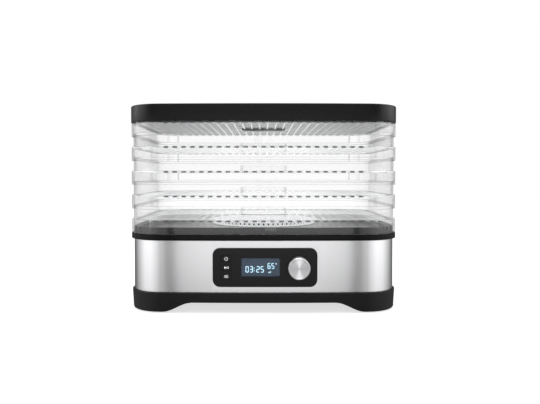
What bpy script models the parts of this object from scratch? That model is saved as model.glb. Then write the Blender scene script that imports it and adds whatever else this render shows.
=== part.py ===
"""Food dehydrator: a base with fan, heater and controls, five clear stacking trays and a lid.

Metres, +Z up. The object stands on z = 0 and its control panel faces -Y. Every piece hangs on one
empty, placed so that the world origin is the middle of the whole object's footprint.
"""

import math

import bmesh
import bpy
from mathutils import Matrix, Vector

# ---------------------------------------------------------------- driving dimensions, in metres
GAP = 0.0003  # left between pieces that touch

# Plan of the body, which the base, the trays and the lid share
WIDTH = 0.3455
DEPTH = 0.250
CORNER_RADIUS = 0.0445
FRONT_BOW = 0.003  # how far the front and back swell at the middle
LEAST_CORNER = 0.004
BOW_STEPS = 2
CORNER_STEPS = 4

# Foot skirt
SKIRT_BOTTOM = 0.001
SKIRT_HEIGHT = 0.0245
SKIRT_INSET = 0.0004
SKIRT_TAPER = 0.0012
SKIRT_WALL = 0.0046
SKIRT_EDGE = 0.003
ARCH_HEIGHT = 0.0118
ARCH_FLAT_TO_SIDE = 0.0830  # from where an arch starts to fall, out to the end of its side
ARCH_END_TO_SIDE = 0.0448
ARCH_STEPS = 8
FLANGE_WIDTH = 0.010
FLANGE_THICKNESS = 0.003

# Bottom plate and what stands under it
PLATE_THICKNESS = 0.0025
PLATE_CLEARANCE = 0.0005
INTAKE_RADIUS = 0.050
INTAKE_SLOTS = 9
INTAKE_SLOT = 0.0055
FOOT_RADIUS = 0.010
FOOT_TAPER = 0.0015
SCREW_RADIUS = 0.0016
SCREW_HEAD_RADIUS = 0.0034
SCREW_HEAD_HEIGHT = 0.0018
SCREW_CLEARANCE = 0.0004
SCREW_LENGTH = 0.008
SCREW_FROM_SIDE = 0.078
BOSS_RADIUS = 0.0040

# Stainless band
BAND_INSET = 0.003
BAND_THICKNESS = 0.001
BAND_UNDER_PANEL = 0.00775
BAND_OVER_PANEL = 0.00895

# Bezel ring and deck
BEZEL_HEIGHT = 0.0070
BEZEL_INSET = -0.0005
BEZEL_WIDTH = 0.0120
DECK_INSET = 0.0032
DECK_WALL = 0.0025
DECK_HEIGHT = 0.0087
DECK_DISH = 0.0040  # how far the deck's floor lies below its rim
DECK_THICKNESS = 0.0022

# Vent cap, duct, fan and heater, all on the centre line
VENT_LEDGE = 0.0078  # how far the vent cap reaches out over the duct
VENT_HEIGHT = 0.0065
VENT_WALL = 0.0020
VENT_TOP = 0.0020
VENT_SLOTS = 34
VENT_SLOT = 0.0060
VENT_TOP_SLOTS = 12
VENT_TOP_SLOT = 0.0036
DUCT_RADIUS = 0.0655
DUCT_WALL = 0.0025
DUCT_STEPS = 28
MOTOR_RADIUS = 0.018
MOTOR_LENGTH = 0.024
MOTOR_WALL = 0.0016
MOTOR_END = 0.0020
SHAFT_RADIUS = 0.0020
BEARING_RADIUS = 0.0050
RUNNING_GAP = 0.0004
BRACKET_HEIGHT = 0.0080
BRACKET_THICKNESS = 0.0020
BRACKET_ARM = 0.0070
BRACKET_POST_RADIUS = 0.0040
FAN_TIP_CLEARANCE = 0.005
FAN_HUB_RADIUS = 0.013
FAN_HEIGHT = 0.014
FAN_BLADES = 7
FAN_BLADE = 0.0018
FAN_OVER_MOTOR = 0.0020
SHAFT_UNDER_HUB_TOP = 0.0020
HEATER_OVER_FAN = 0.0040
HEATER_FROM_DUCT = 0.0186
HEATER_HEIGHT = 0.0175
HEATER_STRIP = 0.0025
MICA = 0.0010
COIL_WIRE = 0.0011
COIL_TURNS = 3
COIL_STEPS = 16
CUTOUT_RADIUS = 0.0060
CUTOUT_HEIGHT = 0.0045
FUSE_RADIUS = 0.0014
FUSE_LENGTH = 0.0120
PROBE_RADIUS = 0.0018
PROBE_UNDER_DUCT_TOP = 0.0020

# Control panel
PANEL_X = 0.0018
PANEL_WIDTH = 0.1305
PANEL_HEIGHT = 0.0485
PANEL_RADIUS = 0.009
PANEL_PROUD = 0.0012
PANEL_FLANGE = 0.004
PANEL_FLANGE_THICKNESS = 0.0015
WINDOW_WIDTH = 0.0481
WINDOW_HEIGHT = 0.0232
WINDOW_LEFT_OF_CENTRE = 0.0056
WINDOW_THICKNESS = 0.0015
BUTTON_WIDTH = 0.0140
BUTTON_HEIGHT = 0.0080
BUTTON_PITCH = 0.0110
BUTTON_FROM_EDGE = 0.01685
BUTTON_CORNER = 0.0015
BUTTON_RIM = 0.0010
KNOB_RADIUS = 0.0137
KNOB_FROM_EDGE = 0.02305
KNOB_PROUD = 0.0105
KNOB_RIM = 0.0009
KNOB_GAP = 0.0009
ENCODER_SIZE = 0.0120
ENCODER_SHAFT_RADIUS = 0.0030
DISPLAY_DEPTH = 0.0035
BOARD_THICKNESS = 0.0016

# Power board and its parts
POWER_BOARD_WIDTH = 0.050
POWER_BOARD_DEPTH = 0.090
POWER_BOARD_LIFT = 0.013
POWER_BOARD_FROM_DUCT = 0.026625
TRANSFORMER = (0.030, 0.026, 0.022)
RELAY = (0.019, 0.015, 0.015)
CAPACITOR_RADIUS = 0.006
CAPACITOR_HEIGHT = 0.018

# Cord gland, in the back wall
GLAND_RADIUS = 0.0075
GLAND_FLANGE_RADIUS = 0.0100
GLAND_FLANGE = 0.0025
GLAND_LENGTH = 0.010
GLAND_BORE = 0.0035
GLAND_FROM_SIDE = 0.060
GLAND_ABOVE_SKIRT = 0.016
LEAD_RADIUS = 0.0016
RIBBON_WIDTH = 0.016

# Trays
TRAY_COUNT = 5
TRAY_PITCH = 0.031
TRAY_OVERLAP = 0.0040  # how far a skirt reaches down over the neck below it
TRAY_WALL = 0.0020
TRAY_FLOOR = 0.0020
NECK_INSET = 0.0024
HOLE_SPACING = 0.036
HOLE_BAR = 0.0030
FLOOR_BORDER = 0.0150
COLLAR_WIDTH = 0.066
COLLAR_DEPTH = 0.056
COLLAR_HEIGHT = 0.0083
COLLAR_WALL = 0.0016
RIB_LENGTH = 0.0080
RIB_THICKNESS = 0.0016
RIB_FAN = math.radians(26)  # turn between a corner's three ribs
NOTCH_CLEARANCE = 0.0004
KEY_X = 0.0091
KEY_WIDTH = 0.0152
KEY_THICKNESS = 0.0006
NECK_KEY_X = 0.0065
NECK_KEY_WIDTH = 0.0070

# Lid
LID_OVERHANG = 0.0007
LID_OVER_NECK = 0.0035  # from the top tray's neck up to the lid's edge
LID_WALL = 0.0026
LID_TOP = 0.0025
LID_CROWN = 0.0036
LID_CROWN_STEPS = ((0.012, 0.30), (0.036, 0.75), (0.070, 1.0))  # inset, share of the crown reached there
LID_EDGE = 0.0012
LID_SLOTS = 11
LID_SLOT_PITCH = 0.0090
LID_SLOT_WIDTH = 0.0040
LID_SLOT_LENGTH = 0.050

# ---------------------------------------------------------------- levels and places from these
SKIRT_TOP = SKIRT_BOTTOM + SKIRT_HEIGHT
ARCH_TOP = SKIRT_BOTTOM + ARCH_HEIGHT
PLATE_BOTTOM = ARCH_TOP + 2 * GAP
PLATE_TOP = PLATE_BOTTOM + PLATE_THICKNESS
PLATE_INSET = SKIRT_INSET + SKIRT_WALL + PLATE_CLEARANCE
BAND_BOTTOM = SKIRT_TOP + GAP
BAND_HEIGHT = BAND_UNDER_PANEL + PANEL_HEIGHT + BAND_OVER_PANEL
BAND_TOP = BAND_BOTTOM + BAND_HEIGHT
BEZEL_BOTTOM = BAND_TOP + GAP
BEZEL_TOP = BEZEL_BOTTOM + BEZEL_HEIGHT
DECK_BOTTOM = BEZEL_TOP + GAP
DECK_TOP = DECK_BOTTOM + DECK_HEIGHT
DECK_FLOOR = DECK_TOP - DECK_DISH
DUCT_BOTTOM = PLATE_TOP + GAP
DUCT_TOP = DECK_FLOOR - DECK_THICKNESS - GAP
DUCT_INNER = DUCT_RADIUS - DUCT_WALL
VENT_RADIUS = DUCT_RADIUS + VENT_LEDGE
FAN_RADIUS = DUCT_INNER - FAN_TIP_CLEARANCE
HEATER_RADIUS = DUCT_INNER - HEATER_FROM_DUCT
VENT_BOTTOM = DECK_FLOOR + GAP
BRACKET_TOP = DUCT_BOTTOM + BRACKET_HEIGHT
MOTOR_BOTTOM = BRACKET_TOP + GAP
MOTOR_TOP = MOTOR_BOTTOM + MOTOR_LENGTH
FAN_BOTTOM = MOTOR_TOP + FAN_OVER_MOTOR
FAN_TOP = FAN_BOTTOM + FAN_HEIGHT
SHAFT_TOP = FAN_TOP - SHAFT_UNDER_HUB_TOP
HEATER_BOTTOM = FAN_TOP + HEATER_OVER_FAN
HEATER_TOP = HEATER_BOTTOM + HEATER_HEIGHT + HEATER_STRIP
COIL_RADIUS = HEATER_RADIUS + COIL_WIRE + 2 * GAP
TRAY_SKIRT = (TRAY_PITCH + TRAY_OVERLAP) / 2  # depth of the wide skirt below the floor's top
NECK_HEIGHT = TRAY_SKIRT
LID_HEIGHT = NECK_HEIGHT + LID_OVER_NECK
FIRST_FLOOR = BEZEL_TOP + GAP + TRAY_SKIRT
TOP_FLOOR = FIRST_FLOOR + (TRAY_COUNT - 1) * TRAY_PITCH
LID_BOTTOM = TOP_FLOOR + GAP
PANEL_Z = SKIRT_TOP + BAND_UNDER_PANEL + PANEL_HEIGHT / 2
RIB_BOTTOM = NECK_HEIGHT - TRAY_PITCH + GAP  # just over the neck of the tray below, from a floor's top

FRONT_HALF = WIDTH / 2 - CORNER_RADIUS
FRONT_ARC = (FRONT_HALF**2 + FRONT_BOW**2) / (2 * FRONT_BOW)


def front_y(x, inset):
    """How far the front wall's surface stands from the centre line at x, as a positive length."""
    arc = FRONT_ARC - inset
    return math.sqrt(arc**2 - x**2) - FRONT_ARC + DEPTH / 2


PANEL_FRONT = front_y(0, BAND_INSET) + PANEL_PROUD
FLANGE_FRONT = front_y(abs(PANEL_X) + PANEL_WIDTH / 2 + PANEL_FLANGE, BAND_INSET + BAND_THICKNESS) - GAP
FLANGE_BACK = FLANGE_FRONT - PANEL_FLANGE_THICKNESS
DISPLAY_FRONT = FLANGE_BACK - GAP
BOARD_FRONT = DISPLAY_FRONT - DISPLAY_DEPTH - GAP
BOARD_BACK = BOARD_FRONT - BOARD_THICKNESS
KNOB_X = PANEL_X + PANEL_WIDTH / 2 - KNOB_FROM_EDGE
BUTTON_X = PANEL_X - PANEL_WIDTH / 2 + BUTTON_FROM_EDGE
WINDOW_X = PANEL_X - WINDOW_LEFT_OF_CENTRE
KNOB_FRONT = PANEL_FRONT + KNOB_PROUD
BACK_OF_LID = DEPTH / 2 + LID_OVERHANG
BODY_Y = (KNOB_FRONT - BACK_OF_LID) / 2  # puts the middle of the footprint on the origin
POWER_BOARD_X = DUCT_RADIUS + POWER_BOARD_FROM_DUCT + POWER_BOARD_WIDTH / 2
POWER_BOARD_Z = PLATE_TOP + POWER_BOARD_LIFT
POWER_BOARD_TOP = POWER_BOARD_Z + BOARD_THICKNESS
GLAND_X = -(WIDTH / 2 - GLAND_FROM_SIDE)
GLAND_Z = SKIRT_TOP + GLAND_ABOVE_SKIRT

TURN_STEPS = 24
SMOOTH_ANGLE = math.radians(35)


# ---------------------------------------------------------------- outlines
def outline(inset, z):
    """The plan of the body at one level, moved in by inset: points anticlockwise from the front."""
    half = WIDTH / 2 - inset
    radius = max(CORNER_RADIUS - inset, LEAST_CORNER)
    arc = FRONT_ARC - inset
    arc_y = FRONT_ARC - DEPTH / 2
    corner_x = half - radius
    corner_y = arc_y - math.sqrt((arc - radius) ** 2 - corner_x**2)
    tangent = math.atan2(corner_y - arc_y, corner_x)
    quarter = []
    for step in range(BOW_STEPS):
        angle = -math.pi / 2 + (tangent + math.pi / 2) * step / BOW_STEPS
        quarter.append((arc * math.cos(angle), arc_y + arc * math.sin(angle)))
    for step in range(CORNER_STEPS + 1):
        angle = tangent * (1 - step / CORNER_STEPS)
        quarter.append((corner_x + radius * math.cos(angle), corner_y + radius * math.sin(angle)))
    right = quarter + [(x, -y) for x, y in reversed(quarter)]
    left = [(-x, y) for x, y in reversed(right[1:-1])]
    return [(x, y, z) for x, y in right + left]


def rounded_rectangle(width, height, radius, steps=4):
    """Corner points of a rounded rectangle about the origin, anticlockwise."""
    points = []
    for quadrant in range(4):
        start = quadrant * math.pi / 2
        centre_x = math.copysign(width / 2 - radius, math.cos(start + math.pi / 4))
        centre_y = math.copysign(height / 2 - radius, math.sin(start + math.pi / 4))
        for step in range(steps + 1):
            angle = start + step / steps * math.pi / 2
            points.append((centre_x + radius * math.cos(angle), centre_y + radius * math.sin(angle)))
    return points


def facing(points, centre_x, centre_z, depth):
    """Plan points stood up in the panel's plane: x to the right, z up, at depth in front."""
    return [(centre_x + x, -depth, centre_z + z) for x, z in points]


# ---------------------------------------------------------------- meshes
def skin(loops, closed=False):
    """A skin over matching loops of points. closed joins the last loop to the first; else it is capped."""
    bm = bmesh.new()
    rings = [[bm.verts.new(point) for point in loop] for loop in loops]
    pairs = list(zip(rings, rings[1:]))
    if closed:
        pairs.append((rings[-1], rings[0]))
    else:
        bm.faces.new(rings[0])
        bm.faces.new(rings[-1])
    for low, high in pairs:
        for index, vertex in enumerate(low):
            after = (index + 1) % len(low)
            bm.faces.new((vertex, low[after], high[after], high[index]))
    bmesh.ops.recalc_face_normals(bm, faces=bm.faces)
    return bm


def turned(profile, steps=TURN_STEPS, closed=True):
    """A profile of (radius, z) points spun about the Z axis."""
    bm = bmesh.new()
    verts = [bm.verts.new((radius, 0, z)) for radius, z in profile]
    edges = [bm.edges.new(pair) for pair in zip(verts, verts[1:])]
    if closed:
        edges.append(bm.edges.new((verts[-1], verts[0])))
    bmesh.ops.spin(
        bm, geom=verts + edges, cent=(0, 0, 0), axis=(0, 0, 1), angle=math.tau, steps=steps, use_merge=True
    )
    bmesh.ops.remove_doubles(bm, verts=bm.verts, dist=0.00001)
    bmesh.ops.recalc_face_normals(bm, faces=bm.faces)
    return bm


def add_box(bm, low, high, turn=0.0, about=(0, 0, 0)):
    """Add a box between two corners, turned about a vertical line through a point."""
    size = Vector(high) - Vector(low)
    centre = (Vector(high) + Vector(low)) / 2
    place = (
        Matrix.Translation(Vector(about))
        @ Matrix.Rotation(turn, 4, "Z")
        @ Matrix.Translation(centre)
        @ Matrix.Diagonal((*size, 1))
    )
    bmesh.ops.create_cube(bm, size=1, matrix=place)


def add_cylinder(bm, radius, bottom, top, x=0.0, y=0.0, steps=TURN_STEPS, top_radius=None):
    """Add an upright cylinder or cone."""
    bmesh.ops.create_cone(
        bm,
        cap_ends=True,
        segments=steps,
        radius1=radius,
        radius2=radius if top_radius is None else top_radius,
        depth=top - bottom,
        matrix=Matrix.Translation((x, y, (top + bottom) / 2)),
    )


def boxes(corners):
    """One mesh of separate boxes."""
    bm = bmesh.new()
    for low, high in corners:
        add_box(bm, low, high)
    return bm


def cylinder(radius, bottom, top, x=0.0, y=0.0, steps=TURN_STEPS):
    """A mesh of one upright cylinder."""
    bm = bmesh.new()
    add_cylinder(bm, radius, bottom, top, x, y, steps)
    return bm


# ---------------------------------------------------------------- objects
def material(name, colour, roughness, metallic=0.0, alpha=1.0):
    """A Principled material."""
    made = bpy.data.materials.new(name)
    made.use_nodes = True
    shader = made.node_tree.nodes["Principled BSDF"]
    shader.inputs["Base Color"].default_value = (*colour, 1)
    shader.inputs["Roughness"].default_value = roughness
    shader.inputs["Metallic"].default_value = metallic
    shader.inputs["Alpha"].default_value = alpha
    return made


def place(name, mesh, look, location=(0, 0, 0), rotation=(0, 0, 0)):
    """Put a named piece into the scene, hung on the body's empty."""
    if isinstance(mesh, bmesh.types.BMesh):
        data = bpy.data.meshes.new(name)
        mesh.to_mesh(data)
        mesh.free()
    else:
        data = mesh
    piece = bpy.data.objects.new(name, data)
    bpy.context.scene.collection.objects.link(piece)
    piece.parent = bpy.data.objects["body_frame"]
    piece.location = location
    piece.rotation_euler = rotation
    if look and not data.materials:
        data.materials.append(look)
    data.shade_smooth()
    data.set_sharp_from_angle(angle=SMOOTH_ANGLE)
    return piece


def combine(piece, mesh, operation, location=None):
    """Cut a mesh out of a piece, or join it on, with a Boolean modifier that stays live."""
    tool = place(f"{piece.name}_{operation.lower()}_{len(piece.modifiers)}", mesh, None)
    tool.location = piece.location if location is None else location
    tool.hide_render = True
    tool.display_type = "WIRE"
    modifier = piece.modifiers.new(tool.name, "BOOLEAN")
    modifier.operation = operation
    modifier.object = tool
    modifier.solver = "EXACT"


def cut(piece, mesh, location=None):
    combine(piece, mesh, "DIFFERENCE", location)


def join(piece, mesh, location=None):
    combine(piece, mesh, "UNION", location)


def tube(name, line, radius, look):
    """A round wire along a line of points."""
    curve = bpy.data.curves.new(name, "CURVE")
    curve.dimensions = "3D"
    curve.bevel_depth = radius
    curve.bevel_resolution = 1
    curve.resolution_u = 1
    curve.use_fill_caps = True
    spline = curve.splines.new("POLY")
    spline.points.add(len(line) - 1)
    for slot, point in zip(spline.points, line):
        slot.co = (*point, 1)
    piece = bpy.data.objects.new(name, curve)
    bpy.context.scene.collection.objects.link(piece)
    piece.parent = bpy.data.objects["body_frame"]
    curve.materials.append(look)


# ---------------------------------------------------------------- base casing
def arch_cutter(length, across):
    """The space under one pair of sides: flat in the middle, falling as a cosine to the corner feet."""
    flat = length / 2 - ARCH_FLAT_TO_SIDE
    end = length / 2 - ARCH_END_TO_SIDE
    falling = []
    for step in range(ARCH_STEPS + 1):
        share = step / ARCH_STEPS
        height = ARCH_HEIGHT * (0.5 + 0.5 * math.cos(math.pi * share))
        falling.append((flat + (end - flat) * share, SKIRT_BOTTOM + height))
    below = -SKIRT_BOTTOM
    edge = [(-x, z) for x, z in reversed(falling)] + falling
    profile = edge + [(end, below), (-end, below)]
    return skin([[(x, side, z) for x, z in profile] for side in (-across, across)])


def skirt_boss_places():
    """Where the bottom screws go: under the flange, two at the front and two at the back."""
    x = WIDTH / 2 - SCREW_FROM_SIDE
    y = front_y(x, SKIRT_INSET + SKIRT_WALL + PLATE_CLEARANCE) - BOSS_RADIUS - PLATE_CLEARANCE
    return [(side * x, end * y) for side in (-1, 1) for end in (-1, 1)]


def foot_skirt(look):
    inner = SKIRT_INSET + SKIRT_WALL
    section = [
        (SKIRT_INSET, SKIRT_TOP),
        (SKIRT_INSET + SKIRT_TAPER, SKIRT_BOTTOM + SKIRT_EDGE),
        (SKIRT_INSET + SKIRT_TAPER + SKIRT_EDGE / 3, SKIRT_BOTTOM + SKIRT_EDGE / 3),
        (SKIRT_INSET + SKIRT_TAPER + SKIRT_EDGE * 2 / 3, SKIRT_BOTTOM),
        (inner, SKIRT_BOTTOM),
        (inner, SKIRT_TOP - FLANGE_THICKNESS),
        (inner + FLANGE_WIDTH, SKIRT_TOP - FLANGE_THICKNESS),
        (inner + FLANGE_WIDTH, SKIRT_TOP),
    ]
    piece = place("foot_skirt", skin([outline(inset, z) for inset, z in section], closed=True), look)
    cut(piece, arch_cutter(WIDTH, DEPTH))
    side_arch = arch_cutter(DEPTH + ARCH_FLAT_TO_SIDE, WIDTH)
    side_arch.transform(Matrix.Diagonal((DEPTH / (DEPTH + ARCH_FLAT_TO_SIDE), 1, 1, 1)))
    side_arch.transform(Matrix.Rotation(math.pi / 2, 4, "Z"))
    cut(piece, side_arch)
    bosses = bmesh.new()
    bores = bmesh.new()
    for x, y in skirt_boss_places():
        add_cylinder(bosses, BOSS_RADIUS, PLATE_TOP + GAP, SKIRT_TOP - FLANGE_THICKNESS / 2, x, y, 12)
        add_cylinder(bores, SCREW_RADIUS + SCREW_CLEARANCE, 0, PLATE_BOTTOM + SCREW_LENGTH, x, y, 12)
    join(piece, bosses)
    cut(piece, bores)


def foot_places():
    """The four rubber feet stand at the centres of the plan's corners."""
    x = WIDTH / 2 - CORNER_RADIUS
    y = front_y(x, CORNER_RADIUS) + FRONT_BOW
    return {
        "front_left": (-x, -y),
        "front_right": (x, -y),
        "rear_left": (-x, y),
        "rear_right": (x, y),
    }


def rubber_feet(look):
    for name, (x, y) in foot_places().items():
        bm = bmesh.new()
        add_cylinder(
            bm, FOOT_RADIUS - FOOT_TAPER, 0, PLATE_BOTTOM - GAP, steps=16, top_radius=FOOT_RADIUS
        )
        place(f"rubber_foot_{name}", bm, look, (x, y, 0))


def bottom_screws(look):
    names = ("front_left", "rear_left", "front_right", "rear_right")
    for name, (x, y) in zip(names, skirt_boss_places()):
        profile = [
            (0, -GAP - SCREW_HEAD_HEIGHT),
            (SCREW_HEAD_RADIUS * 0.7, -GAP - SCREW_HEAD_HEIGHT),
            (SCREW_HEAD_RADIUS, -GAP - SCREW_HEAD_HEIGHT * 0.6),
            (SCREW_HEAD_RADIUS, -GAP),
            (SCREW_RADIUS, -GAP),
            (SCREW_RADIUS, SCREW_LENGTH - GAP),
            (0, SCREW_LENGTH - GAP),
        ]
        place(f"bottom_screw_{name}", turned(profile, 12, closed=False), look, (x, y, PLATE_BOTTOM))


def power_board_posts():
    """Corners of the power board, in from its edges by a post's diameter."""
    reach_x = POWER_BOARD_WIDTH / 2 - BOSS_RADIUS
    reach_y = POWER_BOARD_DEPTH / 2 - BOSS_RADIUS
    return [(POWER_BOARD_X + a * reach_x, b * reach_y) for a in (-1, 1) for b in (-1, 1)]


def bottom_plate(look):
    levels = (PLATE_BOTTOM, PLATE_TOP)
    piece = place("bottom_plate", skin([outline(PLATE_INSET, z) for z in levels]), look)
    below, above = PLATE_BOTTOM - PLATE_THICKNESS, PLATE_TOP + PLATE_THICKNESS
    pitch = 2 * INTAKE_RADIUS / INTAKE_SLOTS
    slots = []
    for index in range(INTAKE_SLOTS):
        x = (index - (INTAKE_SLOTS - 1) / 2) * pitch
        reach = math.sqrt(INTAKE_RADIUS**2 - x**2)
        for low, high in ((-reach, -HOLE_BAR / 2), (HOLE_BAR / 2, reach)):
            slots.append(((x - INTAKE_SLOT / 2, low, below), (x + INTAKE_SLOT / 2, high, above)))
    cut(piece, boxes(slots))
    holes = bmesh.new()
    for x, y in skirt_boss_places():
        add_cylinder(holes, SCREW_RADIUS + SCREW_CLEARANCE, below, above, x, y, 12)
    cut(piece, holes)
    posts = bmesh.new()
    for x, y in power_board_posts():
        add_cylinder(posts, BOSS_RADIUS, PLATE_TOP - GAP, POWER_BOARD_Z - GAP, x, y, 12)
    join(piece, posts)


def steel_band(look):
    inner = BAND_INSET + BAND_THICKNESS
    section = [(BAND_INSET, BAND_BOTTOM), (BAND_INSET, BAND_TOP), (inner, BAND_TOP), (inner, BAND_BOTTOM)]
    piece = place("steel_band", skin([outline(inset, z) for inset, z in section], closed=True), look)
    window = rounded_rectangle(PANEL_WIDTH + 2 * GAP, PANEL_HEIGHT + 2 * GAP, PANEL_RADIUS + GAP)
    depths = (DEPTH, DEPTH / 4)
    cut(piece, skin([facing(window, PANEL_X, PANEL_Z, depth) for depth in depths]))
    hole = cylinder(GLAND_RADIUS + GAP, -DEPTH / 4, DEPTH / 4)
    hole.transform(Matrix.Rotation(math.pi / 2, 4, "X"))
    hole.transform(Matrix.Translation((GLAND_X, DEPTH / 2, GLAND_Z)))
    cut(piece, hole)


def bezel_ring(look):
    edge = BEZEL_HEIGHT / 5
    inner = BEZEL_INSET + BEZEL_WIDTH
    section = [
        (BEZEL_INSET + edge / 2, BEZEL_BOTTOM),
        (BEZEL_INSET, BEZEL_BOTTOM + edge),
        (BEZEL_INSET, BEZEL_TOP - edge / 2),
        (BEZEL_INSET + edge / 2, BEZEL_TOP),
        (inner, BEZEL_TOP),
        (inner, BEZEL_BOTTOM),
    ]
    place("bezel_ring", skin([outline(inset, z) for inset, z in section], closed=True), look)


def top_deck(look):
    inner = DECK_INSET + DECK_WALL
    edge = DECK_WALL / 4
    section = [
        (inner, DECK_FLOOR - DECK_THICKNESS),
        (inner, DECK_BOTTOM),
        (DECK_INSET, DECK_BOTTOM),
        (DECK_INSET, DECK_TOP - edge),
        (DECK_INSET + edge, DECK_TOP),
        (inner, DECK_TOP),
        (inner + DECK_DISH / 2, DECK_FLOOR),
    ]
    piece = place("top_deck", skin([outline(inset, z) for inset, z in section]), look)
    cut(piece, cylinder(DUCT_INNER, DECK_BOTTOM, DECK_TOP, steps=DUCT_STEPS))
    cut(piece, corner_ribs(NOTCH_CLEARANCE), (0, 0, FIRST_FLOOR))


# ---------------------------------------------------------------- air path
def vent_cap(look):
    top = VENT_BOTTOM + VENT_HEIGHT
    edge = VENT_WALL / 3
    foot = VENT_HEIGHT / 6
    profile = [
        (0, top),
        (VENT_RADIUS - edge, top),
        (VENT_RADIUS, top - edge),
        (VENT_RADIUS, VENT_BOTTOM),
        (DUCT_INNER, VENT_BOTTOM),
        (DUCT_INNER, VENT_BOTTOM + foot),
        (VENT_RADIUS - VENT_WALL, VENT_BOTTOM + foot),
        (VENT_RADIUS - VENT_WALL, top - VENT_TOP),
        (0, top - VENT_TOP),
    ]
    piece = place("vent_cap", turned(profile, VENT_SLOTS, closed=False), look)
    side = bmesh.new()
    for index in range(VENT_SLOTS):
        low = (VENT_RADIUS - 2 * VENT_WALL, -VENT_SLOT / 2, VENT_BOTTOM + foot + GAP)
        high = (VENT_RADIUS + VENT_WALL, VENT_SLOT / 2, top - VENT_TOP - GAP)
        add_box(side, low, high, math.tau * (index + 0.5) / VENT_SLOTS)
    cut(piece, side)
    above = bmesh.new()
    for index in range(VENT_TOP_SLOTS):
        low = (DUCT_INNER / 3, -VENT_TOP_SLOT / 2, top - 2 * VENT_TOP)
        high = (DUCT_INNER - VENT_WALL, VENT_TOP_SLOT / 2, top + VENT_TOP)
        add_box(above, low, high, math.tau * (index + 0.25) / VENT_TOP_SLOTS)
    cut(piece, above)


def air_duct(look):
    profile = [
        (DUCT_RADIUS, DUCT_TOP),
        (DUCT_RADIUS, DUCT_BOTTOM),
        (DUCT_INNER, DUCT_BOTTOM),
        (DUCT_INNER, DUCT_TOP),
    ]
    place("air_duct", turned(profile, DUCT_STEPS), look)


def motor_bracket(look):
    thick = BRACKET_THICKNESS
    bottom = BRACKET_TOP - thick
    piece = place("motor_bracket", cylinder(MOTOR_RADIUS, bottom, BRACKET_TOP), look)
    arms = bmesh.new()
    posts = bmesh.new()
    reach = DUCT_INNER - BRACKET_POST_RADIUS - GAP * 3
    for index in range(3):
        angle = math.tau * (index + 0.25) / 3
        low = (MOTOR_RADIUS / 2, -BRACKET_ARM / 2, bottom + GAP)
        high = (reach, BRACKET_ARM / 2, BRACKET_TOP - GAP)
        add_box(arms, low, high, angle)
        x, y = reach * math.cos(angle), reach * math.sin(angle)
        add_cylinder(posts, BRACKET_POST_RADIUS, DUCT_BOTTOM, BRACKET_TOP - 2 * GAP, x, y, 12)
    join(piece, arms)
    join(piece, posts)


def motor(can, winding, steel):
    bore = BEARING_RADIUS + GAP
    wall = MOTOR_RADIUS - MOTOR_WALL
    inner_top = MOTOR_TOP - MOTOR_END
    inner_bottom = MOTOR_BOTTOM + MOTOR_END
    housing = [
        (MOTOR_RADIUS, MOTOR_TOP),
        (MOTOR_RADIUS, MOTOR_BOTTOM),
        (bore, MOTOR_BOTTOM),
        (bore, inner_bottom),
        (wall, inner_bottom),
        (wall, inner_top),
        (bore, inner_top),
        (bore, MOTOR_TOP),
    ]
    place("motor_housing", turned(housing), can)
    ends = {"lower": (MOTOR_BOTTOM + GAP, inner_bottom), "upper": (inner_top, MOTOR_TOP - GAP)}
    for name, (low, high) in ends.items():
        ring = [
            (BEARING_RADIUS, high),
            (BEARING_RADIUS, low),
            (SHAFT_RADIUS + RUNNING_GAP, low),
            (SHAFT_RADIUS + RUNNING_GAP, high),
        ]
        place(f"motor_bearing_{name}", turned(ring, 16), steel)
    rotor_radius = wall * 0.68
    stack_low = inner_bottom + MOTOR_END
    stack_high = inner_top - MOTOR_END
    stator = [
        (wall - GAP, stack_high),
        (wall - GAP, stack_low),
        (rotor_radius + RUNNING_GAP, stack_low),
        (rotor_radius + RUNNING_GAP, stack_high),
    ]
    place("motor_stator", turned(stator), winding)
    rotor = [
        (0, SHAFT_TOP),
        (SHAFT_RADIUS, SHAFT_TOP),
        (SHAFT_RADIUS, stack_high - GAP),
        (rotor_radius, stack_high - GAP),
        (rotor_radius, stack_low + GAP),
        (SHAFT_RADIUS, stack_low + GAP),
        (SHAFT_RADIUS, MOTOR_BOTTOM + GAP),
        (0, MOTOR_BOTTOM + GAP),
    ]
    place("motor_rotor", turned(rotor, 16, closed=False), steel)


def fan_blade(angle):
    """One pitched blade, thicker at the hub than at the tip, which starts inside the hub."""
    middle = (FAN_BOTTOM + FAN_TOP) / 2
    loops = []
    for share in (0.0, 0.5, 1.0):
        radius = FAN_HUB_RADIUS * 0.8 + (FAN_RADIUS - FAN_HUB_RADIUS * 0.8) * share
        chord = FAN_HEIGHT * (0.8 + 0.9 * share)
        pitch = math.radians(52 - 26 * share)
        thick = FAN_BLADE * (1 - 0.35 * share)
        loop = []
        for along, across in ((-0.5, -0.5), (0.5, -0.5), (0.5, 0.5), (-0.5, 0.5)):
            y = along * chord * math.cos(pitch) - across * thick * math.sin(pitch)
            z = middle + along * chord * math.sin(pitch) + across * thick * math.cos(pitch)
            loop.append((radius, y, z))
        loops.append(loop)
    blade = skin(loops)
    blade.transform(Matrix.Rotation(angle, 4, "Z"))
    return blade


def fan_impeller(look):
    bore = SHAFT_RADIUS + GAP
    profile = [
        (0, FAN_TOP),
        (FAN_HUB_RADIUS * 0.8, FAN_TOP),
        (FAN_HUB_RADIUS, FAN_TOP - FAN_HEIGHT / 5),
        (FAN_HUB_RADIUS, FAN_BOTTOM),
        (bore, FAN_BOTTOM),
        (bore, SHAFT_TOP + GAP),
        (0, SHAFT_TOP + GAP),
    ]
    piece = place("fan_impeller", turned(profile, closed=False), look)
    for index in range(FAN_BLADES):
        join(piece, fan_blade(math.tau * index / FAN_BLADES))


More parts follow.
